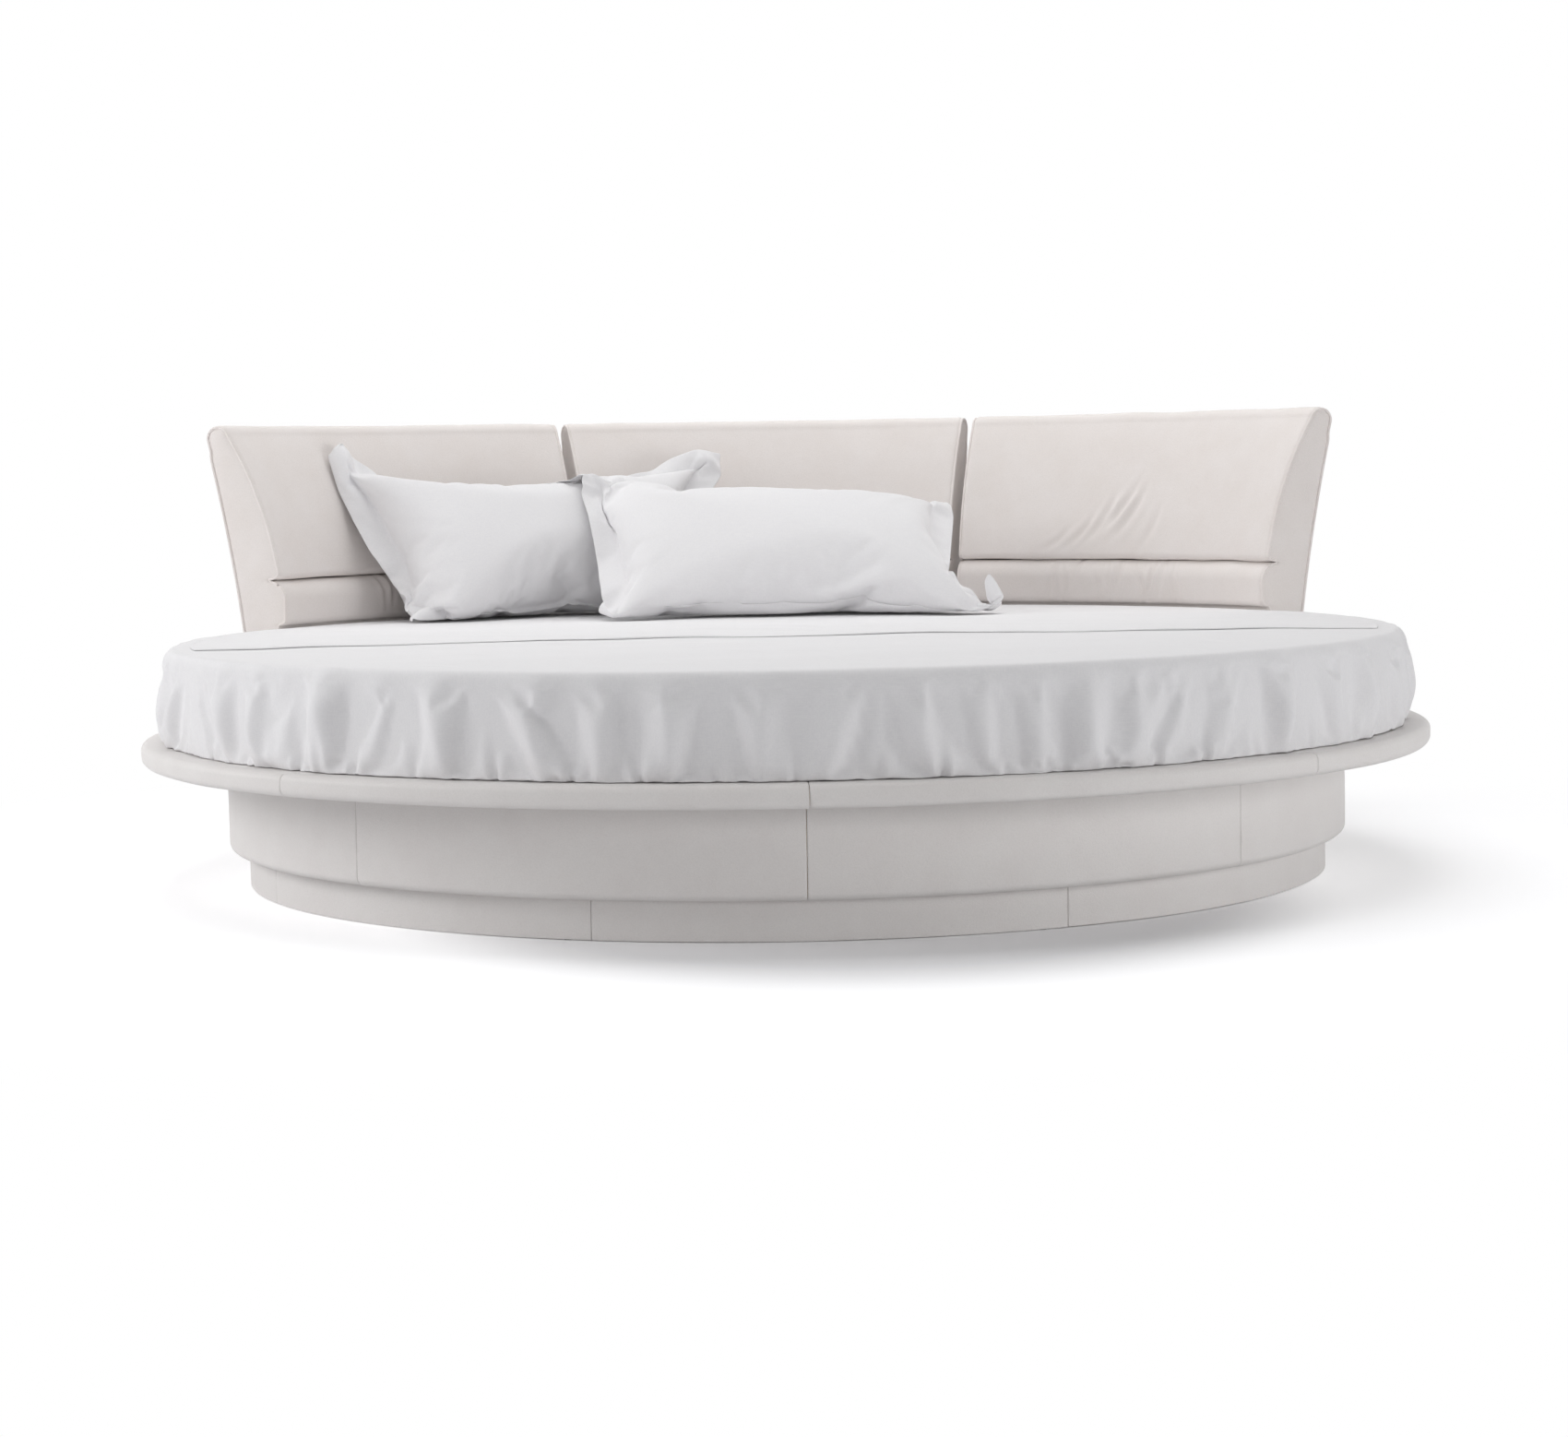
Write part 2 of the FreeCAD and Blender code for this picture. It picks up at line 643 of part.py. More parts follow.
def lower_front():
    """From the foot of a module up its front to the tuck."""
    return [
        (pad_foot_inner, module_foot), (pad_inner, module_foot + s.pad_foot_slope),
        (pad_inner, pad_overhang), (pad_front, pad_overhang),
        (pad_front, pad_bend, -s.tuck_round)]


def upper_front():
    """From the tuck up the front, which leans back more and more, and over the crest."""
    return [
        (tuck_radius, tuck_height, -s.roll_round),
        (roll_front, tuck_height + s.roll_round, -s.front_flare_radius),
        (crest_front, crest_height, -crest_round)]


def fixed_bracket(label, offset):
    """Foot plate on the ledge with two lugs round the pin. Local frame: X outwards, Y along the hinge."""
    half = s.foot_plate_width / 2
    plate_top = ring_top + s.foot_plate_thickness
    parts = [box(label + "_plate", (foot_plate_inner, lug_outer), (offset - half, offset + half),
                 (ring_top, plate_top))]
    near = s.knuckle_length / 2 + s.lug_gap
    for index, low in enumerate((offset - near - s.lug_thickness, offset + near)):
        parts.append(box("%s_shank_%d" % (label, index), (lug_inner, lug_outer),
                         (low, low + s.lug_thickness), (plate_top, hinge_height)))
        parts.append(rod("%s_eye_%d" % (label, index), s.lug_radius, s.lug_thickness,
                         hinge_radius, low, hinge_height, (1, 0, 0), -90))
    holes = [rod(label + "_pin_hole", s.pin_radius + s.bore_gap / 2, s.foot_plate_width,
                 hinge_radius, offset - half, hinge_height, (1, 0, 0), -90)]
    for index, y in enumerate(screw_places(offset)):
        holes.append(rod("%s_screw_hole_%d" % (label, index), s.screw_radius + s.bore_gap / 2,
                         s.foot_plate_thickness * THROUGH, screw_line, y,
                         ring_top - s.foot_plate_thickness / THROUGH))
    return cut(label, fused(label + "_solid", parts), group(label + "_holes", holes))


def screw_places(offset):
    return (offset - s.screw_spacing / 2, offset + s.screw_spacing / 2)


def moving_arm(label, offset):
    """Strap up the inside of the plywood shell, with the knuckle that turns on the pin and its root."""
    strap = turned(label + "_strap", [
        (back_face(strap_foot, shell_inside), strap_foot, -(s.back_flare_radius + shell_inside)),
        (back_face(strap_top, shell_inside), strap_top),
        (back_face(strap_top, shell_inside + s.strap_thickness), strap_top,
         s.back_flare_radius + shell_inside + s.strap_thickness),
        (back_face(strap_foot, shell_inside + s.strap_thickness), strap_foot)],
        degrees_along(s.strap_width, hinge_radius), degrees_along(offset, hinge_radius))
    half = s.knuckle_length / 2
    knuckle = rod(label + "_knuckle", s.knuckle_radius, s.knuckle_length,
                  hinge_radius, offset - half, hinge_height, (1, 0, 0), -90)
    far_edge = Size(abs(offset.value), "abs(%s)" % offset.formula) + s.strap_width / 2
    in_strap = back_face(hinge_height, shell_inside + s.strap_thickness / 2)
    root_end = root(in_strap * in_strap - far_edge * far_edge)
    strap_half = s.strap_width / 2
    root_half = s.strap_thickness / 2
    knuckle_root = box(label + "_root", (hinge_radius, root_end), (offset - strap_half, offset + strap_half),
                       (hinge_height - root_half, hinge_height + root_half))
    bore = rod(label + "_bore", s.pin_radius + s.bore_gap, s.knuckle_length * THROUGH,
               hinge_radius, offset - half * THROUGH, hinge_height, (1, 0, 0), -90)
    return cut(label, fused(label + "_solid", [strap, knuckle, knuckle_root]), bore)


def screws_of(label, offset, grow):
    """Two screws of one foot plate, or their holes where grow is a clearance."""
    made = []
    for index, y in enumerate(screw_places(offset)):
        name = "%s_%d" % (label, index)
        low = ring_top - s.screw_length
        plate_top = ring_top + s.foot_plate_thickness
        shank = rod(name + "_shank", s.screw_radius + grow, plate_top - low, screw_line, y, low)
        if value_of(grow):
            made.append(shank)
        else:
            head = rod(name + "_head", s.screw_head_radius, s.screw_head_height,
                       screw_line, y, plate_top)
            made.append(fused(name, [shank, head]))
    return made


def module(side, step):
    """One headboard module, and the fixed half of its hinges."""
    heading = (s.module_span + s.module_gap) * step + 90
    end_angle = degrees_along(s.end_panel, ring_radius)
    inside_span = s.module_span - end_angle * 2
    flare = s.back_flare_radius
    keep(turned(side + "_shell", [
        (back_face(shell_foot, shell_face), shell_foot, -(flare + shell_face)),
        (back_face(back_seam, shell_face), back_seam),
        (back_face(back_seam, shell_inside), back_seam, flare + shell_inside),
        (back_face(shell_foot, shell_inside), shell_foot)], inside_span, heading))
    keep(turned(side + "_back_cover", [
        (back_face(module_foot), module_foot, -flare),
        (back_face(back_seam), back_seam),
        (back_face(back_seam, s.leather), back_seam, flare + s.leather),
        (back_face(module_foot, s.leather), module_foot)], inside_span, heading))
    crest_end = [(back_face(crest_back_height), crest_back_height, flare)]
    keep(turned(side + "_upper_pad", upper_front() + crest_end + [
        (back_face(back_seam), back_seam),
        (back_face(back_seam, shell_inside), back_seam, flare + shell_inside),
        (back_face(tuck_height, shell_inside), tuck_height)], inside_span, heading))
    keep(turned(side + "_lower_pad", lower_front() + [
        (tuck_radius, tuck_height),
        (back_face(tuck_height, shell_inside), tuck_height, flare + shell_inside),
        (back_face(pocket_top, shell_inside), pocket_top),
        (pocket_front, pocket_top), (pocket_front, module_foot)], inside_span, heading))
    ends = []
    for index, way in enumerate((-1, 1)):
        place = heading + (s.module_span - end_angle) / 2 * way
        ends.append(turned("%s_end_%d" % (side, index), lower_front() + upper_front() + crest_end + [
            (back_face(module_foot), module_foot)], end_angle, place))
    keep(group(side + "_end_panels", ends))
    hinges = ((s.hinge_offset, "a"), (-s.hinge_offset, "b"))
    keep(group(side + "_hinge_arms", [
        moving_arm("%s_arm_%s" % (side, mark), offset) for offset, mark in hinges], heading))
    keep(group(side + "_hinge_brackets", [
        fixed_bracket("%s_bracket_%s" % (side, mark), offset) for offset, mark in hinges], heading))
    pins = []
    screws = []
    holes = []
    for offset, mark in hinges:
        name = "%s_%s" % (side, mark)
        pins.append(rod("pin_" + name, s.pin_radius, s.pin_length, hinge_radius,
                        offset - s.pin_length / 2, hinge_height, (1, 0, 0), -90))
        screws += screws_of("screw_" + name, offset, 0)
        holes += screws_of("screw_hole_" + name, offset, s.bore_gap / 2)
    return (group(side + "_pins", pins, heading), group(side + "_screws", screws, heading),
            group(side + "_screw_holes", holes, heading))


# ---------------------------------------------------------------- the bed
glides()
plinth()
drum()
fixings = [module(side, step) for side, step in MODULES]
keep(group("hinge_pins", [pins for pins, screws, holes in fixings]))
keep(group("hinge_screws", [screws for pins, screws, holes in fixings]))
ledge(group("screw_holes", [holes for pins, screws, holes in fixings]))
slatted_base()
bedding()
keep(pillow("rear_pillow", s.rear_pillow_setback, s.rear_pillow_heading, s.rear_pillow_tilt,
            s.rear_pillow_yaw))
keep(pillow("front_pillow", s.front_pillow_setback, s.front_pillow_heading, s.front_pillow_tilt,
            s.front_pillow_yaw))
doc.recompute()

# ---------------------------------------------------------------- checks and files
failed = [thing.Label for thing in doc.Objects if "Invalid" in thing.State or "Error" in thing.State]
failed += [node.Label for node in nodes if node.Shape.isNull() or not node.Shape.isValid()]
if failed:
    raise SystemExit("not built: " + ", ".join(failed))
os.makedirs("parts", exist_ok=True)
for node in nodes:
    node.Shape.exportStep("parts/%s.step" % node.Label)
    print("%-24s %3d solid(s) %12.1f cm3" % (node.Label, len(node.Shape.Solids), node.Shape.Volume / 1000))
print(len(nodes), "nodes")
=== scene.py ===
# %% [markdown]
# # A round upholstered bed
#
# The bed is a mattress on a round ledge. The ledge, the drum under it and the set-back plinth are wooden
# rings covered in pale leather, and a headboard of three curved modules stands along the rear edge.
# The wooden and steel pieces come from the CAD model as they are. This lesson gives them their finishes,
# and it makes every soft piece anew: leather panels, pads, mattress, sheets and pillows.
#
# Lengths are in metres with +Z up. The bed's axis is X = Y = 0 and the foot end faces -Y. A heading is an
# angle about that axis in degrees: the foot is at -90 and the headboard's middle is at 90.

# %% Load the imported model
import math

import bmesh
import bpy
import numpy as np
from mathutils import Matrix, Vector


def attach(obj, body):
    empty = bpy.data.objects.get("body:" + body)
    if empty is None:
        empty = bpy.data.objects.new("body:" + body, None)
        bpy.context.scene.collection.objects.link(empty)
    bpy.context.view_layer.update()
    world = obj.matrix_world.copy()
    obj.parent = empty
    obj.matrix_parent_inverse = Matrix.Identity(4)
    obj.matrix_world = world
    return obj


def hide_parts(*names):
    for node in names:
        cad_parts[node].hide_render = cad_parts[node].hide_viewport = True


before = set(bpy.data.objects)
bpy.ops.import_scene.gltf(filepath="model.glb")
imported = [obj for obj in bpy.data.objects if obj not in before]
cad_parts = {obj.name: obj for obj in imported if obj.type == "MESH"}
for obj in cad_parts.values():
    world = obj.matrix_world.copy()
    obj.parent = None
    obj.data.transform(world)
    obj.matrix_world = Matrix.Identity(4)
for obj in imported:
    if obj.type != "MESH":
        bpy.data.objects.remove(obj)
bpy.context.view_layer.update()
MM = 0.001

# %% [markdown]
# ## Camera
#
# The camera stands about five metres from the foot of the bed, a little above the headboard's foot, and
# looks slightly down. It is turned 1.65 degrees off the bed's own axis. It is made first, because every
# shape after it is judged from there.

# %% Camera
CAMERA_PLACE = (-0.1753, -5.9974, 0.7536)
CAMERA_TURN = math.radians(1.65)        # about Z, off the bed's axis
CAMERA_PITCH = 0.0793                   # radians down
CAMERA_ROLL = 0.0175                    # radians


def camera_turned():
    """The camera's rotation: its columns are right, up and back."""
    across = Vector((math.cos(CAMERA_TURN), -math.sin(CAMERA_TURN), 0))
    ahead = Vector((math.sin(CAMERA_TURN), math.cos(CAMERA_TURN), 0))
    up = Vector((0, 0, 1))
    forward = math.cos(CAMERA_PITCH) * ahead - math.sin(CAMERA_PITCH) * up
    above = math.sin(CAMERA_PITCH) * ahead + math.cos(CAMERA_PITCH) * up
    right = math.cos(CAMERA_ROLL) * across - math.sin(CAMERA_ROLL) * above
    top = math.sin(CAMERA_ROLL) * across + math.cos(CAMERA_ROLL) * above
    return Matrix((right, top, -forward)).transposed()


camera = bpy.data.objects.new("camera", bpy.data.cameras.new("camera"))
camera.data.lens = 72.775
camera.data.sensor_width = 36
camera.matrix_world = Matrix.Translation(CAMERA_PLACE) @ camera_turned().to_4x4()
bpy.context.collection.objects.link(camera)
bpy.context.scene.camera = camera

# %% [markdown]
# ## How a finish is made
#
# A finish is a small graph of nodes. One function adds a node, sets it up and links it, and every finish
# below is written with it. Colours are written as the sRGB hex values that a paint chart would give, and
# one function turns them to the linear values that the renderer works in. Patterns are placed by object
# coordinates, which are metres here, so a scale is worked out from a real size and no UVs are needed.


# %% Tools for finishes
def linear(hexcode):
    """A colour such as #e8e2de as linear red, green, blue and 1."""
    parts = [int(hexcode[i:i + 2], 16) / 255 for i in (1, 3, 5)]
    return [c / 12.92 if c <= 0.04045 else ((c + 0.055) / 1.055) ** 2.4 for c in parts] + [1.0]


def add(tree, kind, sockets=(), **settings):
    """Adds a node. Settings are its properties. Sockets go by name or number and take a value or a link."""
    node = tree.nodes.new("ShaderNode" + kind)
    for name, value in settings.items():
        setattr(node, name, value)
    for socket, value in dict(sockets).items():
        if isinstance(value, bpy.types.NodeSocket):
            tree.links.new(value, node.inputs[socket])
        else:
            node.inputs[socket].default_value = value
    return node


def new_finish(name):
    """An empty material, its node tree and its place coordinates in metres."""
    material = bpy.data.materials.new(name)
    material.use_nodes = True
    tree = material.node_tree
    tree.nodes.clear()
    return material, tree, add(tree, "TexCoord").outputs["Object"]


def show(tree, shader):
    """Gives the shader to the material's surface."""
    add(tree, "OutputMaterial", {"Surface": shader})


def per_mm(size):
    """The scale of a pattern whose cells are that many millimetres across."""
    return 1 / (size * MM)


# %% [markdown]
# ## Leather
#
# The upholstery is full-grain cow hide, drum-dyed and finished with a thin pigmented coat. The coat gives a
# soft, even sheen. Under it the hide keeps a fine pebbled grain, about 1 mm across, which is drawn twice as
# coarse here because a millimetre is smaller than one pixel of the whole picture. The grain's valleys are
# darkened a little, which is painted shade. The hide also has slow changes of tone over a hand's breadth.
# The same leather is drawn in three tones. On the headboard it is warmer, which is painted warm light that
# the pale pads throw on each other. On the plinth, drum and ledge it is cooler, without that painted light.
# Round the piping it is finer and lighter, and the lighter tone is a painted highlight on the cord.


# %% Leather
def leather_finish(name, top, valley, grain=2.2, depth=0.35):
    """Grained leather. Top and valley are its two slow tones, and grain is a pebble's size in mm."""
    material, tree, place = new_finish(name)
    wander = add(tree, "TexNoise", {"Vector": place, "Scale": per_mm(14), "Detail": 2.0})
    bent = add(tree, "MixRGB", {"Fac": 0.004, "Color1": place, "Color2": wander.outputs["Color"]})
    pebble = add(tree, "TexVoronoi", {"Vector": bent.outputs[0], "Scale": per_mm(grain)},
                 feature="SMOOTH_F1")
    crease = add(tree, "TexVoronoi", {"Vector": bent.outputs[0], "Scale": per_mm(grain * 3.2)},
                 feature="DISTANCE_TO_EDGE")
    creased = add(tree, "MapRange", {"Value": crease.outputs["Distance"], "From Max": 0.08})
    cloudy = add(tree, "TexNoise", {"Vector": place, "Scale": per_mm(90), "Detail": 4.0,
                                    "Roughness": 0.6})
    cloud = add(tree, "MapRange", {"Value": cloudy.outputs[0], "From Min": 0.3, "From Max": 0.7})
    tone = add(tree, "MixRGB", {"Fac": cloud.outputs[0], "Color1": linear(valley), "Color2": linear(top)})
    # Painted shade: the pebbles' low places are darkened by up to 4.5 per cent.
    painted_grain_shade = add(tree, "MapRange", {"Value": pebble.outputs["Distance"], "From Min": 0.15, "From Max": 0.75,
                                 "To Min": 1.0, "To Max": 0.955})
    shade = add(tree, "MixRGB", {"Fac": 1.0, "Color1": tone.outputs[0], "Color2": painted_grain_shade.outputs[0]},
                blend_type="MULTIPLY")
    height = add(tree, "Math", {0: creased.outputs[0], 1: pebble.outputs["Distance"]}, operation="SUBTRACT")
    bump = add(tree, "Bump", {"Strength": depth, "Distance": 0.35 * MM, "Height": height.outputs[0]})
    dull = add(tree, "MapRange", {"Value": cloudy.outputs[0], "To Min": 0.5, "To Max": 0.62})
    skin = add(tree, "BsdfPrincipled", {
        "Base Color": shade.outputs[0], "Roughness": dull.outputs[0], "IOR": 1.5, "Specular IOR Level": 0.4,
        "Sheen Weight": 0.08, "Sheen Roughness": 0.5, "Normal": bump.outputs[0]})
    show(tree, skin.outputs[0])
    return material


# Painted light: the headboard's leather is warmer than the base's, in place of the warm light its pale pads
# throw on each other. It is the same hide.
leather = leather_finish("full_grain_leather_with_painted_warm_bounce", "#e9e3e0", "#e5deda")
base_leather = leather_finish("leather_of_the_base", "#e5e2e0", "#e1dddb")
# Painted highlight: the piping's leather is lighter on top, for the light that the raised cord catches. Its
# finer grain is real.
piping_leather_painted_highlight = leather_finish("folded_piping_leather_with_painted_highlight", "#ece6e3", "#e4dcd8", grain=1.6, depth=0.25)

# %% [markdown]
# ## Cotton
#
# The sheets are cotton percale and the pillowcases a slightly finer one. A thread is about 0.25 mm, so the
# single threads can't be seen from across the room. What shows is the slub: threads that are thicker for a
# few centimetres and lie along the warp and the weft. Two noises, each stretched along one direction, give
# that. A third, ridged noise gives the small dry creases that cotton keeps after it is taken from the pile.
# They are strong on the sheet and weak on the pillowcases, which the filling stretches.


# %% Cotton
def cotton_finish(name, colour, shadow, thread=1.5, crease=0.8):
    """Woven cotton. Thread is a slub's width in mm, and crease is how strongly dry creases show."""
    material, tree, place = new_finish(name)
    slubs = []
    for stretch in ((0.06, 1, 1), (1, 0.06, 0.25)):
        lie = add(tree, "Mapping", {"Vector": place, "Scale": stretch})
        slubs.append(add(tree, "TexNoise", {"Vector": lie.outputs[0], "Scale": per_mm(thread),
                                            "Detail": 2.0}).outputs[0])
    weave = add(tree, "Math", {0: slubs[0], 1: slubs[1]}, operation="ADD")
    dry = add(tree, "TexNoise", {"Vector": place, "Scale": per_mm(85), "Detail": 4.0, "Roughness": 0.5,
                                 "Distortion": 0.6}, noise_type="RIDGED_MULTIFRACTAL")
    first = add(tree, "Bump", {"Strength": crease, "Distance": 1.6 * MM, "Height": dry.outputs[0]})
    second = add(tree, "Bump", {"Strength": 0.25, "Distance": 0.3 * MM, "Height": weave.outputs[0],
                                "Normal": first.outputs[0]})
    fleck = add(tree, "MapRange", {"Value": weave.outputs[0], "From Min": 0.7, "From Max": 1.3})
    tone = add(tree, "MixRGB", {"Fac": fleck.outputs[0], "Color1": linear(shadow),
                                "Color2": linear(colour)})
    cloth = add(tree, "BsdfPrincipled", {
        "Base Color": tone.outputs[0], "Roughness": 0.85, "IOR": 1.45, "Specular IOR Level": 0.25,
        "Sheen Weight": 0.25, "Sheen Roughness": 0.4, "Normal": second.outputs[0]})
    show(tree, cloth.outputs[0])
    return material


sheet_cotton = cotton_finish("cotton_percale_sheet", "#ecebec", "#e6e5e7")
case_cotton = cotton_finish("cotton_percale_pillowcase", "#f0eff0", "#eae9eb", thread=1.2, crease=0.35)

# %% [markdown]
# ## Wood, rubber, plastic, steel and ticking
#
# Below the leather is cabinet work: birch plywood with its thin brown glue lines, steam-bent beech slats,
# black rubber pads, moulded polypropylene glides and powder-coated hinges. They show only in a view from
# below or with a cushion lifted, but a part in a library is looked at from there too.


# %% Wood
def wood_finish(name, light, dark, ring=6.0, along=(0.05, 1, 1), ply=False, roughness=0.55):
    """Sanded and oiled wood. Ring is the width of a year in mm, and along stretches it with the grain."""
    material, tree, place = new_finish(name)
    lie = add(tree, "Mapping", {"Vector": place, "Scale": along})
    year = add(tree, "TexNoise", {"Vector": lie.outputs[0], "Scale": per_mm(ring), "Detail": 6.0,
                                  "Roughness": 0.62, "Distortion": 0.4})
    band = add(tree, "MapRange", {"Value": year.outputs[0], "From Min": 0.35, "From Max": 0.65})
    tone = add(tree, "MixRGB", {"Fac": band.outputs[0], "Color1": linear(dark), "Color2": linear(light)})
    colour = tone.outputs[0]
    if ply:         # a veneer is 1.4 mm thick, and its glue line shows as a darker stripe on the edge
        height = add(tree, "SeparateXYZ", {0: place}).outputs["Z"]
        saw = add(tree, "Math", {0: height, 1: 2.8 * MM}, operation="PINGPONG")
        line = add(tree, "MapRange", {"Value": saw.outputs[0], "From Min": 0.0, "From Max": 0.5 * MM})
        glued = add(tree, "MixRGB", {"Fac": line.outputs[0], "Color1": linear("#a98157"), "Color2": colour})
        colour = glued.outputs[0]
    pores = add(tree, "Bump", {"Strength": 0.3, "Distance": 0.2 * MM, "Height": year.outputs[0]})
    wood = add(tree, "BsdfPrincipled", {"Base Color": colour, "Roughness": roughness, "IOR": 1.5,
                                        "Normal": pores.outputs[0]})
    show(tree, wood.outputs[0])
    return material


plywood = wood_finish("birch_plywood", "#d9be95", "#c6a677", ply=True)
beech = wood_finish("steamed_beech", "#cf9f76", "#b98457", ring=4.0, roughness=0.45)


# %% Rubber, plastic, steel and ticking
def plain_finish(name, colour, worn, roughness, speck=1.0, depth=0.2, metallic=0.0, sheen=0.0):
    """A moulded, sprayed or woven surface: a colour with a slightly worn tone, over a fine texture."""
    material, tree, place = new_finish(name)
    fine = add(tree, "TexNoise", {"Vector": place, "Scale": per_mm(speck), "Detail": 3.0})
    slow = add(tree, "TexNoise", {"Vector": place, "Scale": per_mm(35), "Detail": 4.0})
    blotch = add(tree, "MapRange", {"Value": slow.outputs[0], "From Min": 0.4, "From Max": 0.65})
    tone = add(tree, "MixRGB", {"Fac": blotch.outputs[0], "Color1": linear(colour), "Color2": linear(worn)})
    gloss = add(tree, "MapRange", {"Value": slow.outputs[0], "To Min": roughness - 0.08,
                                   "To Max": roughness + 0.08})
    bump = add(tree, "Bump", {"Strength": depth, "Distance": 0.2 * MM, "Height": fine.outputs[0]})
    shader = add(tree, "BsdfPrincipled", {
        "Base Color": tone.outputs[0], "Roughness": gloss.outputs[0], "Metallic": metallic,
        "Sheen Weight": sheen, "Normal": bump.outputs[0]})
    show(tree, shader.outputs[0])
    return material


rubber = plain_finish("moulded_rubber", "#232323", "#303030", 0.75)
plastic = plain_finish("moulded_polypropylene", "#3a3a3c", "#454547", 0.5, speck=0.6)
steel = plain_finish("powder_coated_steel", "#1d1e20", "#2a2b2d", 0.45, speck=0.5, depth=0.35)
bare_steel = plain_finish("zinc_plated_steel", "#b9bcc0", "#a4a8ad", 0.35, depth=0.1, metallic=1.0)
ticking = plain_finish("damask_ticking", "#efece6", "#e4e0d8", 0.8, speck=2.5, depth=0.6, sheen=0.2)

# %% [markdown]
# ## Finishes on the CAD pieces that stay
#
# Each wooden, rubber, plastic or steel piece of the CAD model keeps its own mesh. It only gets the finish
# of what it is made from.

# %% Dress the CAD pieces
KEPT = {
    plastic: ["glides"],
    plywood: ["plinth_hoop", "plinth_beam_long", "plinth_beam_cross", "drum_base", "drum_hoop", "drum_ribs",
              "centre_posts", "ring_board", "slat_frame_right", "slat_frame_left",
              "left_shell", "centre_shell", "right_shell"],
    beech: ["slats"],
    rubber: ["slat_pads"],
    steel: [side + part for side in ("left", "centre", "right")
            for part in ("_hinge_arms", "_hinge_brackets")],
    bare_steel: ["hinge_pins", "hinge_screws"],
}
for finish, names in KEPT.items():
    for name in names:
        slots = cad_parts[name].data.materials
        slots.clear()
        slots.append(finish)
print("CAD pieces dressed:", sum(len(names) for names in KEPT.values()))

# %% [markdown]
# ## Lines and skins
#
# Nearly every soft piece of this bed is a line in (radius, height) that is carried round the bed's axis.
# So three tools do most of the work: one draws an arc, one rounds the corners of a line, and one spans a
# grid of points with faces. Working with grids keeps each fold and each seam where it is put.


# %% Tools for lines
def arc(start, end, radius, step=4 * MM):
    """Points from start to end on an arc that bulges to the right of the way. A radius below 0 bulges to the
    left."""
    start, end = np.array(start, float), np.array(end, float)
    chord = end - start
    half = np.hypot(*chord) / 2
    right = np.array((chord[1], -chord[0])) / (2 * half)
    rise = math.sqrt(radius * radius - half * half)
    middle = (start + end) / 2 - right * math.copysign(rise, radius)
    first = math.atan2(*(start - middle)[::-1])
    turn = math.atan2(*(end - middle)[::-1]) - first
    turn = (turn + math.pi) % (2 * math.pi) - math.pi
    count = max(3, int(abs(turn * radius) / step) + 1)
    angles = first + turn * np.linspace(0, 1, count + 1)
    return middle + abs(radius) * np.stack((np.cos(angles), np.sin(angles)), 1)


def rounded(corners, steps=6):
    """A line through (radius, height, rounding) corners, with the corners rounded."""
    points = [np.array(corners[0][:2], float)]
    for before, here, after in zip(corners, corners[1:], corners[2:]):
        place = np.array(here[:2], float)
        back = np.array(before[:2], float) - place
        onward = np.array(after[:2], float) - place
        back, onward = back / np.hypot(*back), onward / np.hypot(*onward)
        half_turn = math.acos(np.clip(back @ onward, -1, 1)) / 2
        reach = here[2] / math.tan(half_turn)
        middle = place + (back + onward) / np.hypot(*(back + onward)) * here[2] / math.sin(half_turn)
        first, last = place + back * reach - middle, place + onward * reach - middle
        for t in np.linspace(0, 1, steps + 1):
            spoke = first * (1 - t) + last * t
            points.append(middle + spoke / np.hypot(*spoke) * here[2])
    points.append(np.array(corners[-1][:2], float))
    return np.array(points)


def spaced(line, step):
    """The line with more points, so that none are further apart than step. Its own points stay."""
    out = [line[0]]
    for a, b in zip(line, line[1:]):
        count = max(1, math.ceil(np.hypot(*(b - a)) / step - 1e-6))
        out += [a + (b - a) * i / count for i in range(1, count + 1)]
    return np.array(out)


def along(line):
    """Distance of each point along the line."""
    return np.concatenate(([0], np.cumsum(np.hypot(*np.diff(line, axis=0).T))))


def outward(line):
    """Unit normals to the right of the way along a line."""
    run = np.gradient(line, axis=0)
    run /= np.hypot(run[:, 0], run[:, 1])[:, None]
    return np.stack((run[:, 1], -run[:, 0]), 1)


def round_bed(radius, heading, height):
    """Points in space from radii, headings in degrees and heights."""
    angle = np.radians(heading)
    return np.stack(np.broadcast_arrays(radius * np.cos(angle), radius * np.sin(angle), height), -1)


# %% Tools for skins
def finished(name, verts, faces, finish, smooth=50):
    """A new mesh object with a finish, smooth except over edges sharper than that many degrees."""
    mesh = bpy.data.meshes.new(name)
    mesh.from_pydata([tuple(v) for v in np.asarray(verts, float)], [], faces)
    work = bmesh.new()
    work.from_mesh(mesh)
    bmesh.ops.recalc_face_normals(work, faces=work.faces)
    work.to_mesh(mesh)
    work.free()
    mesh.shade_smooth()
    mesh.set_sharp_from_angle(angle=math.radians(smooth))
    mesh.materials.append(finish)
    piece = bpy.data.objects.new(name, mesh)
    bpy.context.collection.objects.link(piece)
    return piece


def grid_faces(rows, columns, wrap_rows=False, wrap_columns=False):
    """Quads over a grid of points that are numbered row by row."""
    out = []
    for i in range(rows if wrap_rows else rows - 1):
        for j in range(columns if wrap_columns else columns - 1):
            i2, j2 = (i + 1) % rows, (j + 1) % columns
            out.append((i * columns + j, i * columns + j2, i2 * columns + j2, i2 * columns + j))
    return out


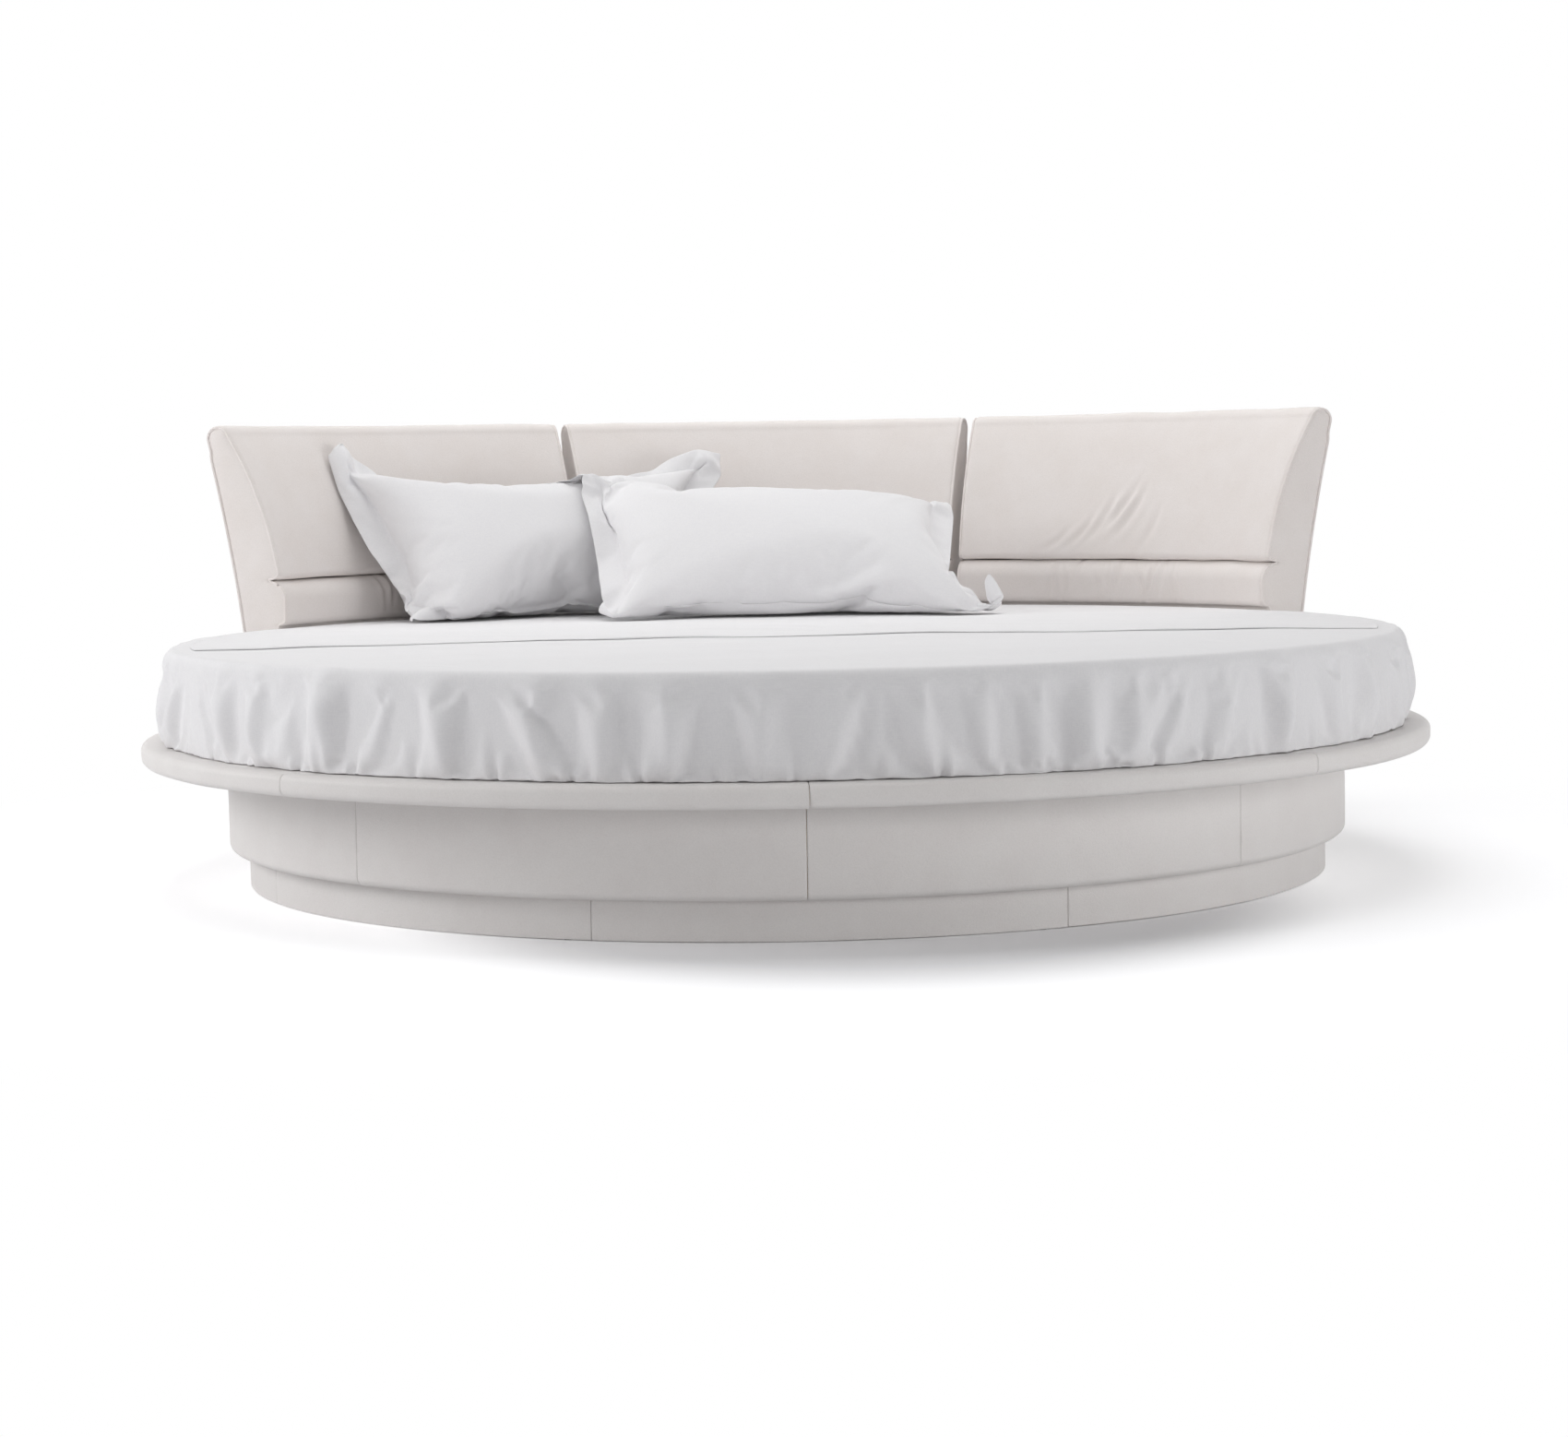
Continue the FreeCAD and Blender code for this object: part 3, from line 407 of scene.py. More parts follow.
def loft(name, grid, finish, smooth=50):
    """A closed skin over rows that are closed loops. Its first and last rows are capped."""
    rows, columns = grid.shape[:2]
    faces = grid_faces(rows, columns, wrap_columns=True)
    faces += [tuple(range(columns)), tuple(range((rows - 1) * columns, rows * columns))]
    return finished(name, grid.reshape(-1, 3), faces, finish, smooth)


def merged(name, pieces):
    """Several new pieces as one."""
    bpy.ops.object.select_all(action="DESELECT")
    for piece in pieces:
        piece.select_set(True)
    bpy.context.view_layer.objects.active = pieces[0]
    bpy.ops.object.join()
    pieces[0].name = pieces[0].data.name = name
    return pieces[0]


# %% [markdown]
# ## Slow waves
#
# Hand-stretched leather and laid cloth are never true. A few sine waves of different lengths and
# directions, drawn from a seeded list so that every run is the same, give the slight unevenness that makes
# a sheen break up. A crease is a narrow valley with a low ridge on each side that fades at its ends.


# %% Waves and creases
def waves(u, v, seed, lengths=(0.11, 0.19, 0.34), height=0.4 * MM):
    """A sum of slow waves over two coordinates in metres."""
    dice = np.random.default_rng(seed)
    out = np.zeros(np.broadcast(u, v).shape)
    for length in lengths:
        for _ in range(3):
            angle, phase = dice.uniform(0, 2 * math.pi, 2)
            size = length * dice.uniform(0.8, 1.25)
            way = u * math.cos(angle) + v * math.sin(angle)
            out = out + np.sin(2 * math.pi * way / size + phase) * length
    return out * height / (3 * sum(lengths)) * 2


def valley(t, ridge):
    """A valley one unit deep at t = 0, with a ridge of that height on each side."""
    return ridge * np.exp(-(t - 1.6) ** 2) + ridge * np.exp(-(t + 1.6) ** 2) - np.exp(-t * t)


def crease(u, v, centre, angle, length, width, depth):
    """A valley of that depth at the centre (u, v), that runs at an angle in degrees."""
    c, s = math.cos(math.radians(angle)), math.sin(math.radians(angle))
    du, dv = u - centre[0], v - centre[1]
    on, off = du * c + dv * s, -du * s + dv * c
    off = off + 0.12 * length * (on / length) ** 2
    return depth * np.exp(-(on / length) ** 2) * valley(off / width, 0.55)


# %% [markdown]
# ## The three leather bands
#
# Plinth, drum and ledge are each covered by eight leather panels. Two neighbours are sewn face to face, and
# the seam is pulled in when the cover is stretched, so each panel's end rolls inwards over a few
# millimetres. A panel is the outline of the leather, outside and inside, carried from one seam to the next.
# Its rows lie close together at both ends, where the roll is, and every row is one closed loop. So the
# panel is a real sheet with a thickness, and the seam is a real valley that light can't reach.


# %% Panels
def end_roll(distance, radius):
    """How far a rolled end has dropped at a distance from its edge."""
    t = np.clip(1 - distance / radius, 0, 1)
    return radius * (1 - np.sqrt(1 - t * t))


def stations(length, step, fine=(0, 0.25, 0.6, 1.1, 1.8, 2.8, 4.5, 7, 11, 18, 28)):
    """Places along a length that are dense at both ends."""
    ends = np.array(fine) * MM
    middle = np.linspace(ends[-1], length - ends[-1], max(2, int(length / step)))
    return np.concatenate((ends[:-1], middle, (length - ends[:-1])[::-1]))


LEATHER_THICK = 3.4 * MM                # with the wadding glued behind it


def panel(name, outside, radius, heading, span, roll=2.4 * MM, step=22 * MM, seed=0, wave=0.35 * MM,
          finish=base_leather, notch=None):
    """A leather panel: an outside line that is carried round, centred on a heading. The radius turns the
    span in degrees to a length. Notch gives an extra drop at the seam."""
    normal = outward(outside)
    inside = (outside - normal * LEATHER_THICK)[::-1]
    run = along(outside)
    length = math.radians(span) * radius
    rows = []
    for place in stations(length, step):
        end = min(place, length - place)
        turn = heading - span / 2 + math.degrees(place / radius)
        drop = end_roll(end, roll)
        if notch is not None:
            drop = drop + notch(turn, run) * np.exp(-(end / (3.0 * MM)) ** 2)
        lift = waves(math.radians(turn) * radius, run, seed, height=wave)
        lift = lift * (1 - math.exp(-(end / (15 * MM)) ** 2))
        pucker = waves(math.radians(turn) * radius * 0.4, run, seed + 50, (0.018, 0.03), 0.5 * MM)
        lift = lift + pucker * math.exp(-(end / (12 * MM)) ** 2) * (1 - math.exp(-(end / (2 * MM)) ** 2))
        outer = outside + normal * (lift - drop)[:, None]
        loop = np.concatenate((outer, inside))
        rows.append(round_bed(loop[:, 0], turn, loop[:, 1]))
    return loft(name, np.array(rows), finish)


FOOT = -90                              # heading of the foot end
PANELS = 8
PITCH = 360 / PANELS
SEAM = 0.6 * MM                         # gap between two panels
PLINTH_R, DRUM_R, RING_R = 1009.5 * MM, 1045.5 * MM, 1200 * MM


def panel_span(radius):
    """Degrees that a panel covers, less its share of the seams."""
    return PITCH - math.degrees(SEAM / radius)


# %% Plinth panels
plinth_line = spaced(rounded([(1007 * MM, 1.2 * MM), (1009.5 * MM, 1.2 * MM, 1.2 * MM),
                              (1009.5 * MM, 70 * MM)]), 9 * MM)
plinth = merged("plinth_leather", [
    panel("plinth_panel_%d" % i, plinth_line, PLINTH_R, FOOT + 25 + PITCH * (i + 0.5), panel_span(PLINTH_R),
          seed=10 + i, roll=2.0 * MM)
    for i in range(PANELS)])
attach(plinth, "bed")
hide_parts("plinth_cover")
print("plinth:", len(plinth.data.vertices), "points")

# %% Drum panels
drum_line = spaced(rounded([(1010.2 * MM, 70 * MM), (1045.5 * MM, 70 * MM, 12 * MM),
                            (1045.5 * MM, 235.6 * MM)], steps=8), 9 * MM)
for i in range(PANELS):
    name = "drum_panel_%d" % (i + 1)
    piece = panel(name, drum_line, DRUM_R, FOOT + PITCH * (i + 0.5), panel_span(DRUM_R), seed=30 + i)
    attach(piece, "bed")
    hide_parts("drum_cover_%d" % (i + 1))

# %% [markdown]
# The ledge's leather comes up from the drum, goes round the edge of the board and lies on top of it as far
# as under the mattress. At the foot end the last two panels meet, and there the lower lip of the seam is
# pulled in a little more than elsewhere, which leaves a small notch.


# %% Ledge panels
def foot_notch(turn, run):
    """The extra drop at the foot's seam, where the leather turns from the drum to the ledge's edge."""
    near = math.exp(-((turn - FOOT) / 0.6) ** 2)
    return near * 4.5 * MM * np.exp(-((run - 0.150) / 0.014) ** 2)


ring_line = spaced(rounded([(1046 * MM, 232 * MM), (1200 * MM, 232 * MM, 14 * MM),
                            (1200 * MM, 270 * MM, 12 * MM), (1081 * MM, 270 * MM)], steps=9), 12 * MM)
for i in range(PANELS):
    piece = panel("ledge_panel_%d" % (i + 1), ring_line, RING_R, FOOT + PITCH * (i + 0.5),
                  panel_span(RING_R), seed=60 + i, wave=0.3 * MM, notch=foot_notch)
    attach(piece, "bed")
    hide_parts("ring_cover_%d" % (i + 1))
print("drum and ledge: %d panels" % (2 * PANELS))

# %% [markdown]
# ## Mattress
#
# A foam mattress in a quilted ticking cover lies on the slats, and the sheet hides all of it. It is a round
# with a soft upper edge, pressed in at the back where the headboard's pads lean against it. Shallow quilted
# rings and spokes are sculpted into its top, and a border tape runs round its side.

# %% Mattress
MATTRESS_R = 1146.5 * MM
PRESSED_R = 1129 * MM
PRESSED_TO, PRESSED_FADE = 62, 6        # degrees each side of the headboard's middle


def pressed(heading, free=MATTRESS_R, back=PRESSED_R):
    """The mattress's radius at a heading: smaller behind, where the headboard presses it in."""
    off = np.abs((np.asarray(heading) - 90 + 180) % 360 - 180)
    t = np.clip((off - PRESSED_TO) / PRESSED_FADE, 0, 1)
    return back + (free - back) * t * t * (3 - 2 * t)


def crown(x, y):
    """How far the top of the bed stands above its edge: a little fuller in the middle."""
    r2 = (x * x + y * y) / 1.08 ** 2
    return 4.0 * MM * np.clip(1 - r2, 0, 1) - 1.5 * MM * np.clip(y - 0.6, 0, 1) ** 2 * 4


def quilting(x, y):
    """Depth of the quilted rings, 11 cm apart, and of the 24 spokes, which start 20 cm from the middle."""
    r = np.hypot(x, y)
    ring = np.abs((r / 0.11) % 1 - 0.5) * 2
    spoke = np.abs((np.arctan2(y, x) / (math.pi / 12)) % 1 - 0.5) * 2
    spokes = np.exp(-((1 - spoke) * r / 0.06) ** 2) * (r > 0.2)
    return -3 * MM * (np.exp(-((1 - ring) / 0.18) ** 2) + spokes)


tape = rounded([(1.06, 0.4375), (1.1465, 0.4375, 0.034), (1.1465, 0.271, 0.024), (1.06, 0.271)], steps=8)
tape = spaced(tape, 14 * MM)
headings = np.arange(0, 360, 1.5)
inner = np.linspace(0.04, 1.04, 26)
rows = []
for turn in headings:
    scale = pressed(turn) / MATTRESS_R
    x, y = inner * math.cos(math.radians(turn)), inner * math.sin(math.radians(turn))
    top = 0.4365 + crown(x, y) + quilting(x, y) * 0.5 - 0.5 * MM
    edge = tape.copy()
    edge[:, 0] *= scale
    border = 1.2 * MM * np.exp(-((edge[:, 1] - 0.405) / 0.004) ** 2)
    edge[:, 0] += border * (edge[:, 0] > 1.1)
    bottom = np.stack((inner[::-2], np.full_like(inner[::-2], 0.271)), 1)
    line = np.concatenate((np.stack((inner, top), 1), edge, bottom))
    rows.append(round_bed(line[:, 0], turn, line[:, 1]))
rows = np.array(rows)
count = rows.shape[1]
faces = grid_faces(len(headings), count, wrap_rows=True)
faces += [tuple(range(0, len(headings) * count, count)),
          tuple(range(count - 1, len(headings) * count, count))]
mattress = finished("quilted_mattress", rows.reshape(-1, 3), faces, ticking)
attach(mattress, "bed")
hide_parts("mattress")

# %% [markdown]
# ## Cloth
#
# Sheets and pillows are simulated as cloth. The idea is always the same. A mesh starts close to its final
# shape, a shape key holds the flat piece that was cut, and the solver finds the folds that the difference
# asks for. The solver runs for a few frames only, and then its result becomes the mesh, so nothing moves
# any more.


# %% Cloth tools
def settle(piece, frames, flat=None, pinned=None, blown=None, pressure=0.0, gravity=1.0, stiffness=15.0,
           bending=0.5, mass=0.3, quality=6, gap=2.5 * MM, colliders=(), shear=5.0, damping=5.0):
    """Runs the cloth solver on a piece and keeps where its points end. Flat gives the places of its points
    on the cutting table. Pinned and blown are weights: what stays, and what the air inside pushes."""
    if flat is not None:
        piece.shape_key_add(name="worn")
        key = piece.shape_key_add(name="flat")
        key.data.foreach_set("co", np.asarray(flat, float).ravel())
        key.value = 0
    for name, weights in (("pinned", pinned), ("blown", blown)):
        if weights is not None:
            group = piece.vertex_groups.new(name=name)
            for index in np.nonzero(weights)[0]:
                group.add([int(index)], float(weights[index]), "REPLACE")
    walls = []
    for wall in colliders:
        bumper = wall.modifiers.new("wall", "COLLISION")
        wall.collision.thickness_outer = gap
        wall.collision.cloth_friction = 20
        walls.append((wall, bumper))
    cloth = piece.modifiers.new("cloth", "CLOTH")
    rules = cloth.settings
    rules.quality = quality
    rules.mass = mass
    rules.tension_stiffness = rules.compression_stiffness = stiffness
    rules.shear_stiffness = shear
    rules.bending_stiffness = bending
    rules.tension_damping = rules.compression_damping = rules.shear_damping = damping
    rules.air_damping = 2.0
    rules.effector_weights.gravity = gravity
    if flat is not None:
        rules.rest_shape_key = piece.data.shape_keys.key_blocks["flat"]
    if pinned is not None:
        rules.vertex_group_mass = "pinned"
    if pressure:
        rules.use_pressure = True
        rules.uniform_pressure_force = pressure
        if blown is not None:
            rules.vertex_group_pressure = "blown"
    cloth.collision_settings.use_collision = bool(walls)
    cloth.collision_settings.distance_min = gap
    cloth.point_cache.frame_start = 1
    cloth.point_cache.frame_end = frames
    scene = bpy.context.scene
    for number in range(1, frames + 1):
        scene.frame_set(number)
    worn = piece.evaluated_get(bpy.context.evaluated_depsgraph_get()).to_mesh()
    places = np.zeros(len(worn.vertices) * 3)
    worn.vertices.foreach_get("co", places)
    piece.modifiers.remove(cloth)
    if flat is not None:
        piece.shape_key_clear()
    for wall, bumper in walls:
        wall.modifiers.remove(bumper)
    piece.data.vertices.foreach_set("co", places)
    piece.data.update()
    scene.frame_set(1)


def places_of(piece):
    """The places of a piece's points, one row each."""
    out = np.zeros(len(piece.data.vertices) * 3)
    piece.data.vertices.foreach_get("co", out)
    return out.reshape(-1, 3)


# %% [markdown]
# ## Fitted sheet
#
# A fitted sheet for a round bed is a flat round of cotton with an elastic in its hem. The top lies smooth.
# Down the side there is more cloth than circumference, more of it the nearer to the hem, so the side falls
# in folds that grow downwards and end in small puckers where the elastic pulls the hem in under the
# mattress. The side starts as a skirt with a gentle fold at each place of a list. The flat shape key is the
# ring that was cut, a little wider at the hem than the skirt is, and the solver turns the difference into
# folds. The top edge and the hem are pinned. The mattress and the ledge hold the cloth out.

# %% Where the folds are
SHEET_COLUMNS = 720
SKIRT_START = 1.075                     # radius on top of the bed where the skirt starts
SHEET_R, SHEET_PRESSED_R = 1.1505, 1.1335       # the sheet's side, free and behind the headboard's pads
SMOOTH_RUN = 0.06                       # how far the cloth lies smooth before its folds start
# What the sheet hangs against, in radius and height: the mattress's rim and side down to the ledge.
BED_SIDE = np.array([(1.111, 0.4395), (1.13, 0.434), (1.142, 0.422), (1.1465, 0.404), (1.1465, 0.29),
                     (1.140, 0.274), (1.128, 0.2685)])
FRONT_FOLDS = (-71.7, -62.3, -56.2, -51.5, -47.3, -43.7, -40.9, -36.4, -29.0, -21.2, -15.7, -9.9, -4.3, 2.4,
               7.8, 13.5, 18.0, 22.2, 26.5, 31.8, 36.3, 43.6, 51.5, 58.6, 67.1)   # degrees from the foot
fold_dice = np.random.default_rng(7)
fold_places = list(FRONT_FOLDS)
while fold_places[-1] < 360 - 76.5:
    fold_places.append(fold_places[-1] + fold_dice.uniform(3.6, 6.4))
fold_lean = fold_dice.uniform(-1.6, 1.6, len(fold_places))
fold_size = fold_dice.uniform(0.6, 1.2, len(fold_places))
print("folds:", len(fold_places))

# %% The skirt as it starts
skirt_line = rounded([(SKIRT_START, 0.4415), (SHEET_R, 0.4415, 0.022), (SHEET_R, 0.2725, 0.012),
                      (1.136, 0.2725)], steps=10)
skirt_line = spaced(skirt_line, 9 * MM)
skirt_run = along(skirt_line)
skirt_normal = -outward(skirt_line)       # the line runs outwards and down, so its left is out
headings = np.arange(SHEET_COLUMNS) * 360 / SHEET_COLUMNS - 90
# 0 where the cloth lies smooth over the rim, and 1 at the hem
fullness = np.clip((skirt_run - SMOOTH_RUN) / (skirt_run[-1] - SMOOTH_RUN), 0, 1)
bellied = np.sin(math.pi * fullness)


def fold_swing(turn_from_foot):
    """The starting folds: one soft ridge at each place of the list, for each row of the skirt."""
    out = np.zeros(len(skirt_run))
    for place, lean, size in zip(fold_places, fold_lean, fold_size):
        gap = (turn_from_foot - place - lean * (1 - fullness) + 180) % 360 - 180
        width = 1.0 + 1.3 * (1 - fullness)
        out += size * np.exp(-(gap / width) ** 2)
    return out


skirt_rows = []
for turn in headings:
    swing = fold_swing(turn + 90) * (0.013 * bellied ** 0.7) * (fullness > 0)
    scale = pressed(turn, SHEET_R, SHEET_PRESSED_R) / SHEET_R
    line = skirt_line + skirt_normal * (swing + 0.5 * MM)[:, None]
    skirt_rows.append(np.stack((line[:, 0] * scale, line[:, 1]), 1))
skirt_rows = np.array(skirt_rows)
skirt_places = round_bed(skirt_rows[:, :, 0], headings[:, None], skirt_rows[:, :, 1])
skirt_places[:, :, 2] += crown(skirt_places[:, :, 0], skirt_places[:, :, 1]) * (1 - fullness[None, :])

# %% Let the skirt fall
# The piece that was cut is a flat ring. Each row lies a thirtieth of a millimetre lower than the last.
cut_radius = SKIRT_START + skirt_run
cut_height = -math.sqrt(1e-9) * np.arange(len(skirt_run))
cut_places = round_bed(cut_radius[None, :], headings[:, None], cut_height[None, :])
skirt_start = skirt_places.copy()
skirt = finished("skirt", skirt_places.reshape(-1, 3),
                 grid_faces(SHEET_COLUMNS, len(skirt_run), wrap_rows=True), sheet_cotton)
pins = np.zeros((SHEET_COLUMNS, len(skirt_run)))
pins[:, :2] = 1
pins[:, -1] = 1
wall_points = np.concatenate(([(1.0, 0.4395)], BED_SIDE, [(1.26, 0.2685)]))
on_mattress = wall_points[:, 0] < 1.2
wall_rows = np.array([round_bed(wall_points[:, 0] * np.where(on_mattress, pressed(t) / MATTRESS_R, 1),
                                t, wall_points[:, 1]) for t in headings[::4]])
wall = finished("wall", wall_rows.reshape(-1, 3),
                grid_faces(len(wall_rows), len(wall_points), wrap_rows=True), ticking)
settle(skirt, 26, flat=cut_places, pinned=pins.ravel(), gravity=0.3, stiffness=25, bending=1.2, mass=0.2,
       quality=5, gap=1.5 * MM, colliders=[wall])
skirt_places = places_of(skirt).reshape(SHEET_COLUMNS, -1, 3)
bpy.data.objects.remove(wall)
bpy.data.objects.remove(skirt)

# %% [markdown]
# The solver works on a coarse mesh, and its folds come out flatter than percale's. So each row's swing about
# its own slow mean is made larger, and at the hem narrow puckers are pressed in between the folds, each with
# a ridge on both sides that fans out upwards. Nothing may go into the mattress.

# %% Deepen the folds and pucker the hem
FOLD_GAIN = 1.4                         # how much more the folds stand out than the solver left them
PUCKER = 7 * MM                         # depth of a middling pucker at the hem
MEAN_OVER = 22                          # columns each side that the slow mean is taken over
reach = np.hypot(skirt_places[:, :, 0], skirt_places[:, :, 1])
free = pressed(headings, SHEET_R, SHEET_PRESSED_R)[:, None] / SHEET_R
slow = sum(np.roll(reach / free, k, 0) for k in range(-MEAN_OVER, MEAN_OVER + 1)) / (2 * MEAN_OVER + 1)
drawn_in = slow - np.maximum(slow - skirt_line[:, 0] - 3 * MM, 0) * 0.6
deeper = drawn_in + (reach / free - slow) * (1 + FOLD_GAIN * bellied ** 0.6)
middles = (np.array(fold_places) + np.roll(fold_places, -1)) / 2
middles[-1] = (fold_places[-1] + fold_places[0] + 360) / 2
pucker_dice = np.random.default_rng(11)
for place in middles:
    size, tilt = pucker_dice.uniform(0.5, 1.15), pucker_dice.uniform(-2.2, 2.2)
    up = 1 - fullness
    off = np.radians((headings[:, None] + 90 - place - tilt * up + 180) % 360 - 180) * 1.15
    press = size * PUCKER * np.exp(-(up / 0.42) ** 2) * np.clip(up / 0.10, 0, 1)
    deeper = deeper + press * valley(off / (0.0045 + 0.022 * up), 0.8)
held = np.interp(skirt_places[:, :, 2], BED_SIDE[::-1, 1], BED_SIDE[::-1, 0]) + 1.3 * MM
deeper = np.where((fullness > 0) & (fullness < 1), np.maximum(deeper, np.minimum(held, np.maximum(
    reach / free, 1.131))), reach / free)
skirt_places[:, :, :2] *= (deeper * free / reach)[:, :, None]
taut = 1 - np.clip((fullness - 0.02) / 0.22, 0, 1)      # the hem's pull keeps the cloth taut over the rim
taut = (taut * taut * (3 - 2 * taut))[None, :, None]
skirt_places = skirt_start * taut + skirt_places * (1 - taut)
moved = np.hypot(skirt_places[:, :, 0], skirt_places[:, :, 1])
print("skirt: %.4f to %.4f m at mid height" % (moved[:, len(skirt_run) // 2].min(),
                                               moved[:, len(skirt_run) // 2].max()))

# %% The whole sheet
def doubled(grid, wrap):
    """A grid of points with one more row between each two, on a smooth curve through its neighbours."""
    if wrap:
        before, after, beyond = np.roll(grid, 1, 0), np.roll(grid, -1, 0), np.roll(grid, -2, 0)
    else:
        before = np.concatenate((2 * grid[:1] - grid[1:2], grid[:-1]))
        after = np.concatenate((grid[1:], 2 * grid[-1:] - grid[-2:-1]))
        beyond = np.concatenate((after[1:], after[-1:]))
    middle = (9 * (grid + after) - before - beyond) / 16
    out = np.empty((2 * len(grid),) + grid.shape[1:])
    out[::2], out[1::2] = grid, middle
    return out if wrap else out[:-1]


fine_skirt = doubled(doubled(skirt_places, True).transpose(1, 0, 2), False).transpose(1, 0, 2)
fine_headings = np.arange(2 * SHEET_COLUMNS) * 180 / SHEET_COLUMNS - 90
top_radii = np.linspace(0.03, SKIRT_START - 0.02, 36)


def sheet_height(x, y):
    """Height of the sheet on top of the bed: its crown, and slow waves that die out at the rim."""
    inner = np.clip((SKIRT_START - np.hypot(x, y)) / 0.1, 0, 1)
    return 0.442 + crown(x, y) + waves(x, y, 5, (0.22, 0.4), 1.2 * MM) * inner


top_x = top_radii[None, :] * np.cos(np.radians(fine_headings))[:, None]
top_y = top_radii[None, :] * np.sin(np.radians(fine_headings))[:, None]
top_rows = np.stack((top_x, top_y, sheet_height(top_x, top_y)), -1)
sheet_rows = np.concatenate((top_rows, fine_skirt), axis=1)
count = sheet_rows.shape[1]
verts = np.concatenate((sheet_rows.reshape(-1, 3), [(0, 0, sheet_height(0, 0))]))
faces = grid_faces(2 * SHEET_COLUMNS, count, wrap_rows=True)
faces += [(i * count, (i + 1) % (2 * SHEET_COLUMNS) * count, len(verts) - 1)
          for i in range(2 * SHEET_COLUMNS)]
fitted = finished("fitted_cotton_sheet", verts, faces, sheet_cotton, smooth=180)
thick = fitted.modifiers.new("cloth thickness", "SOLIDIFY")
thick.thickness = 0.8 * MM
thick.offset = -1
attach(fitted, "bed")
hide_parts("fitted_sheet")

# %% [markdown]
# ## Turned-down sheet
#
# A top sheet is folded down over the bed in a broad band. Only the band's hem shows as a fine line across
# the bed, with a shallow ripple where the cloth was pulled straight by hand. It is two layers with a soft
# rolled fold at the foot side, so it is a closed skin a few millimetres thick that follows the crown.

# %% Turned-down sheet
BAND_FOOT, BAND_R = -0.235, 1.106        # Y of its folded edge at the middle, and its ends' radius
BAND_EDGE = 2.4 * MM                    # how far in from an edge the two layers reach their full height
across = np.concatenate((np.linspace(-1, -0.95, 8)[:-1], np.linspace(-0.95, 0.95, 150),
                         np.linspace(0.95, 1, 8)[1:]))
deep = np.concatenate((np.array([0, 1.2, 3, 6, 10, 15, 22, 32]) * MM, np.linspace(0.045, 0.60, 40),
                       np.array([0.615, 0.625, 0.631, 0.6345])))
under, over = [], []
for v in deep:
    hem = v / deep[-1]
    sway = 0.006 * np.sin(across * 9 + 1) + 0.003 * np.sin(across * 23) - 0.05 * across ** 2
    y = BAND_FOOT + v + (1 - hem) * sway
    reach = np.sqrt(BAND_R ** 2 - y ** 2)
    x = across * reach
    lie = sheet_height(x, y)
    edge = np.minimum(np.minimum(v, deep[-1] - v), (1 - np.abs(across)) * 1.1)
    full = np.sqrt(np.clip(1 - (1 - np.clip(edge / BAND_EDGE, 0, 1)) ** 2, 0.02, 1))
    roll = 0.5 * MM * np.exp(-((v - 5 * MM) / (5 * MM)) ** 2)
    loose = 0.7 * MM * (1 + np.sin(x * 11 + 3 * y)) * np.exp(-(v / 0.05) ** 2)
    wrinkle = waves(x, y, 21, (0.05, 0.12), 0.5 * MM) + waves(x, y, 22, (0.3,), 0.6 * MM)
    height = lie + 0.5 * MM + (1.0 * MM + roll) * full + loose + wrinkle * full + 0.5 * MM
    over.append(np.stack((x, y, height), 1))
    under.append(np.stack((x, y, lie + 0.6 * MM + loose * 0.4), 1))
over, under = np.array(over), np.array(under)
loops = np.concatenate((over, under[::-1]), axis=0).transpose(1, 0, 2)
band = loft("turned_down_sheet", loops, sheet_cotton, smooth=80)
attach(band, "bed")
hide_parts("sheet_turndown")

# %% [markdown]
# ## Headboard modules
#
# A headboard module is a moulded plywood shell with two foam pads in one leather cover. The lower pad
# leans on the mattress. The upper pad rises from a deep tuck, leans back more and more and rolls over the
# crest down to a seam on the back. A gusset, one flat piece of leather, closes each end, and a welt, a
# leather-covered cord about 6 mm thick, is sewn into the seam all round it.
#
# Here each pad is again an outline carried round the bed's axis. At its ends the face rolls in to the welt.

# %% Outlines of a module
BACK_CURVE = 3.2                        # radius of the back's upright curve
SHELL_INSIDE = 22 * MM                  # from the back to the inside of the plywood shell


def back_face(height, inset=0.0):
    """Radius of the back, or of a surface inset behind it, at a height."""
    radius = BACK_CURVE + inset
    return 1.194 + BACK_CURVE - np.sqrt(radius ** 2 - np.asarray(height) ** 2)


def flare(low, high, inset=0.0, step=20 * MM):
    """The back's line between two heights."""
    heights = np.linspace(low, high, max(2, int(abs(high - low) / step)))
    return np.stack((back_face(heights, inset), heights), 1)


def joined(*lines):
    """Lines end to end, without double points."""
    points = np.concatenate(lines)
    keep = np.concatenate(([True], np.hypot(*np.diff(points, axis=0).T) > 0.2 * MM))
    return points[keep]


def upper_face():
    """Leather of the upper pad from the back seam, over the crest and down to the bottom of the tuck."""
    crest = arc((1.2470, 0.838), (1.3035, 0.830), -29 * MM, 4 * MM)[::-1]
    front = arc((1.133, 0.553), (1.2470, 0.838), -736 * MM, 5 * MM)[::-1]
    roll = arc((1.145, 0.5405), (1.133, 0.553), -13.5 * MM, 2 * MM)[::-1]
    return joined(flare(0.802, 0.830, step=8 * MM), crest, front, roll,
                  np.array([(1.152, 0.5404), (1.164, 0.5404)]))


def lower_face():
    """Leather of the lower pad from the tuck down its front to its foot."""
    turn_in = arc((1.118, 0.505), (1.147, 0.5390), -41 * MM, 4 * MM)[::-1]
    front = rounded([(1.118, 0.505), (1.118, 0.4465, 0.014), (1.1365, 0.4465, 0.004), (1.1365, 0.304, 0.02),
                     (1.151, 0.2835)], steps=5)
    return joined(np.array([(1.164, 0.5390), (1.154, 0.5390)]), turn_in, spaced(front, 5 * MM))


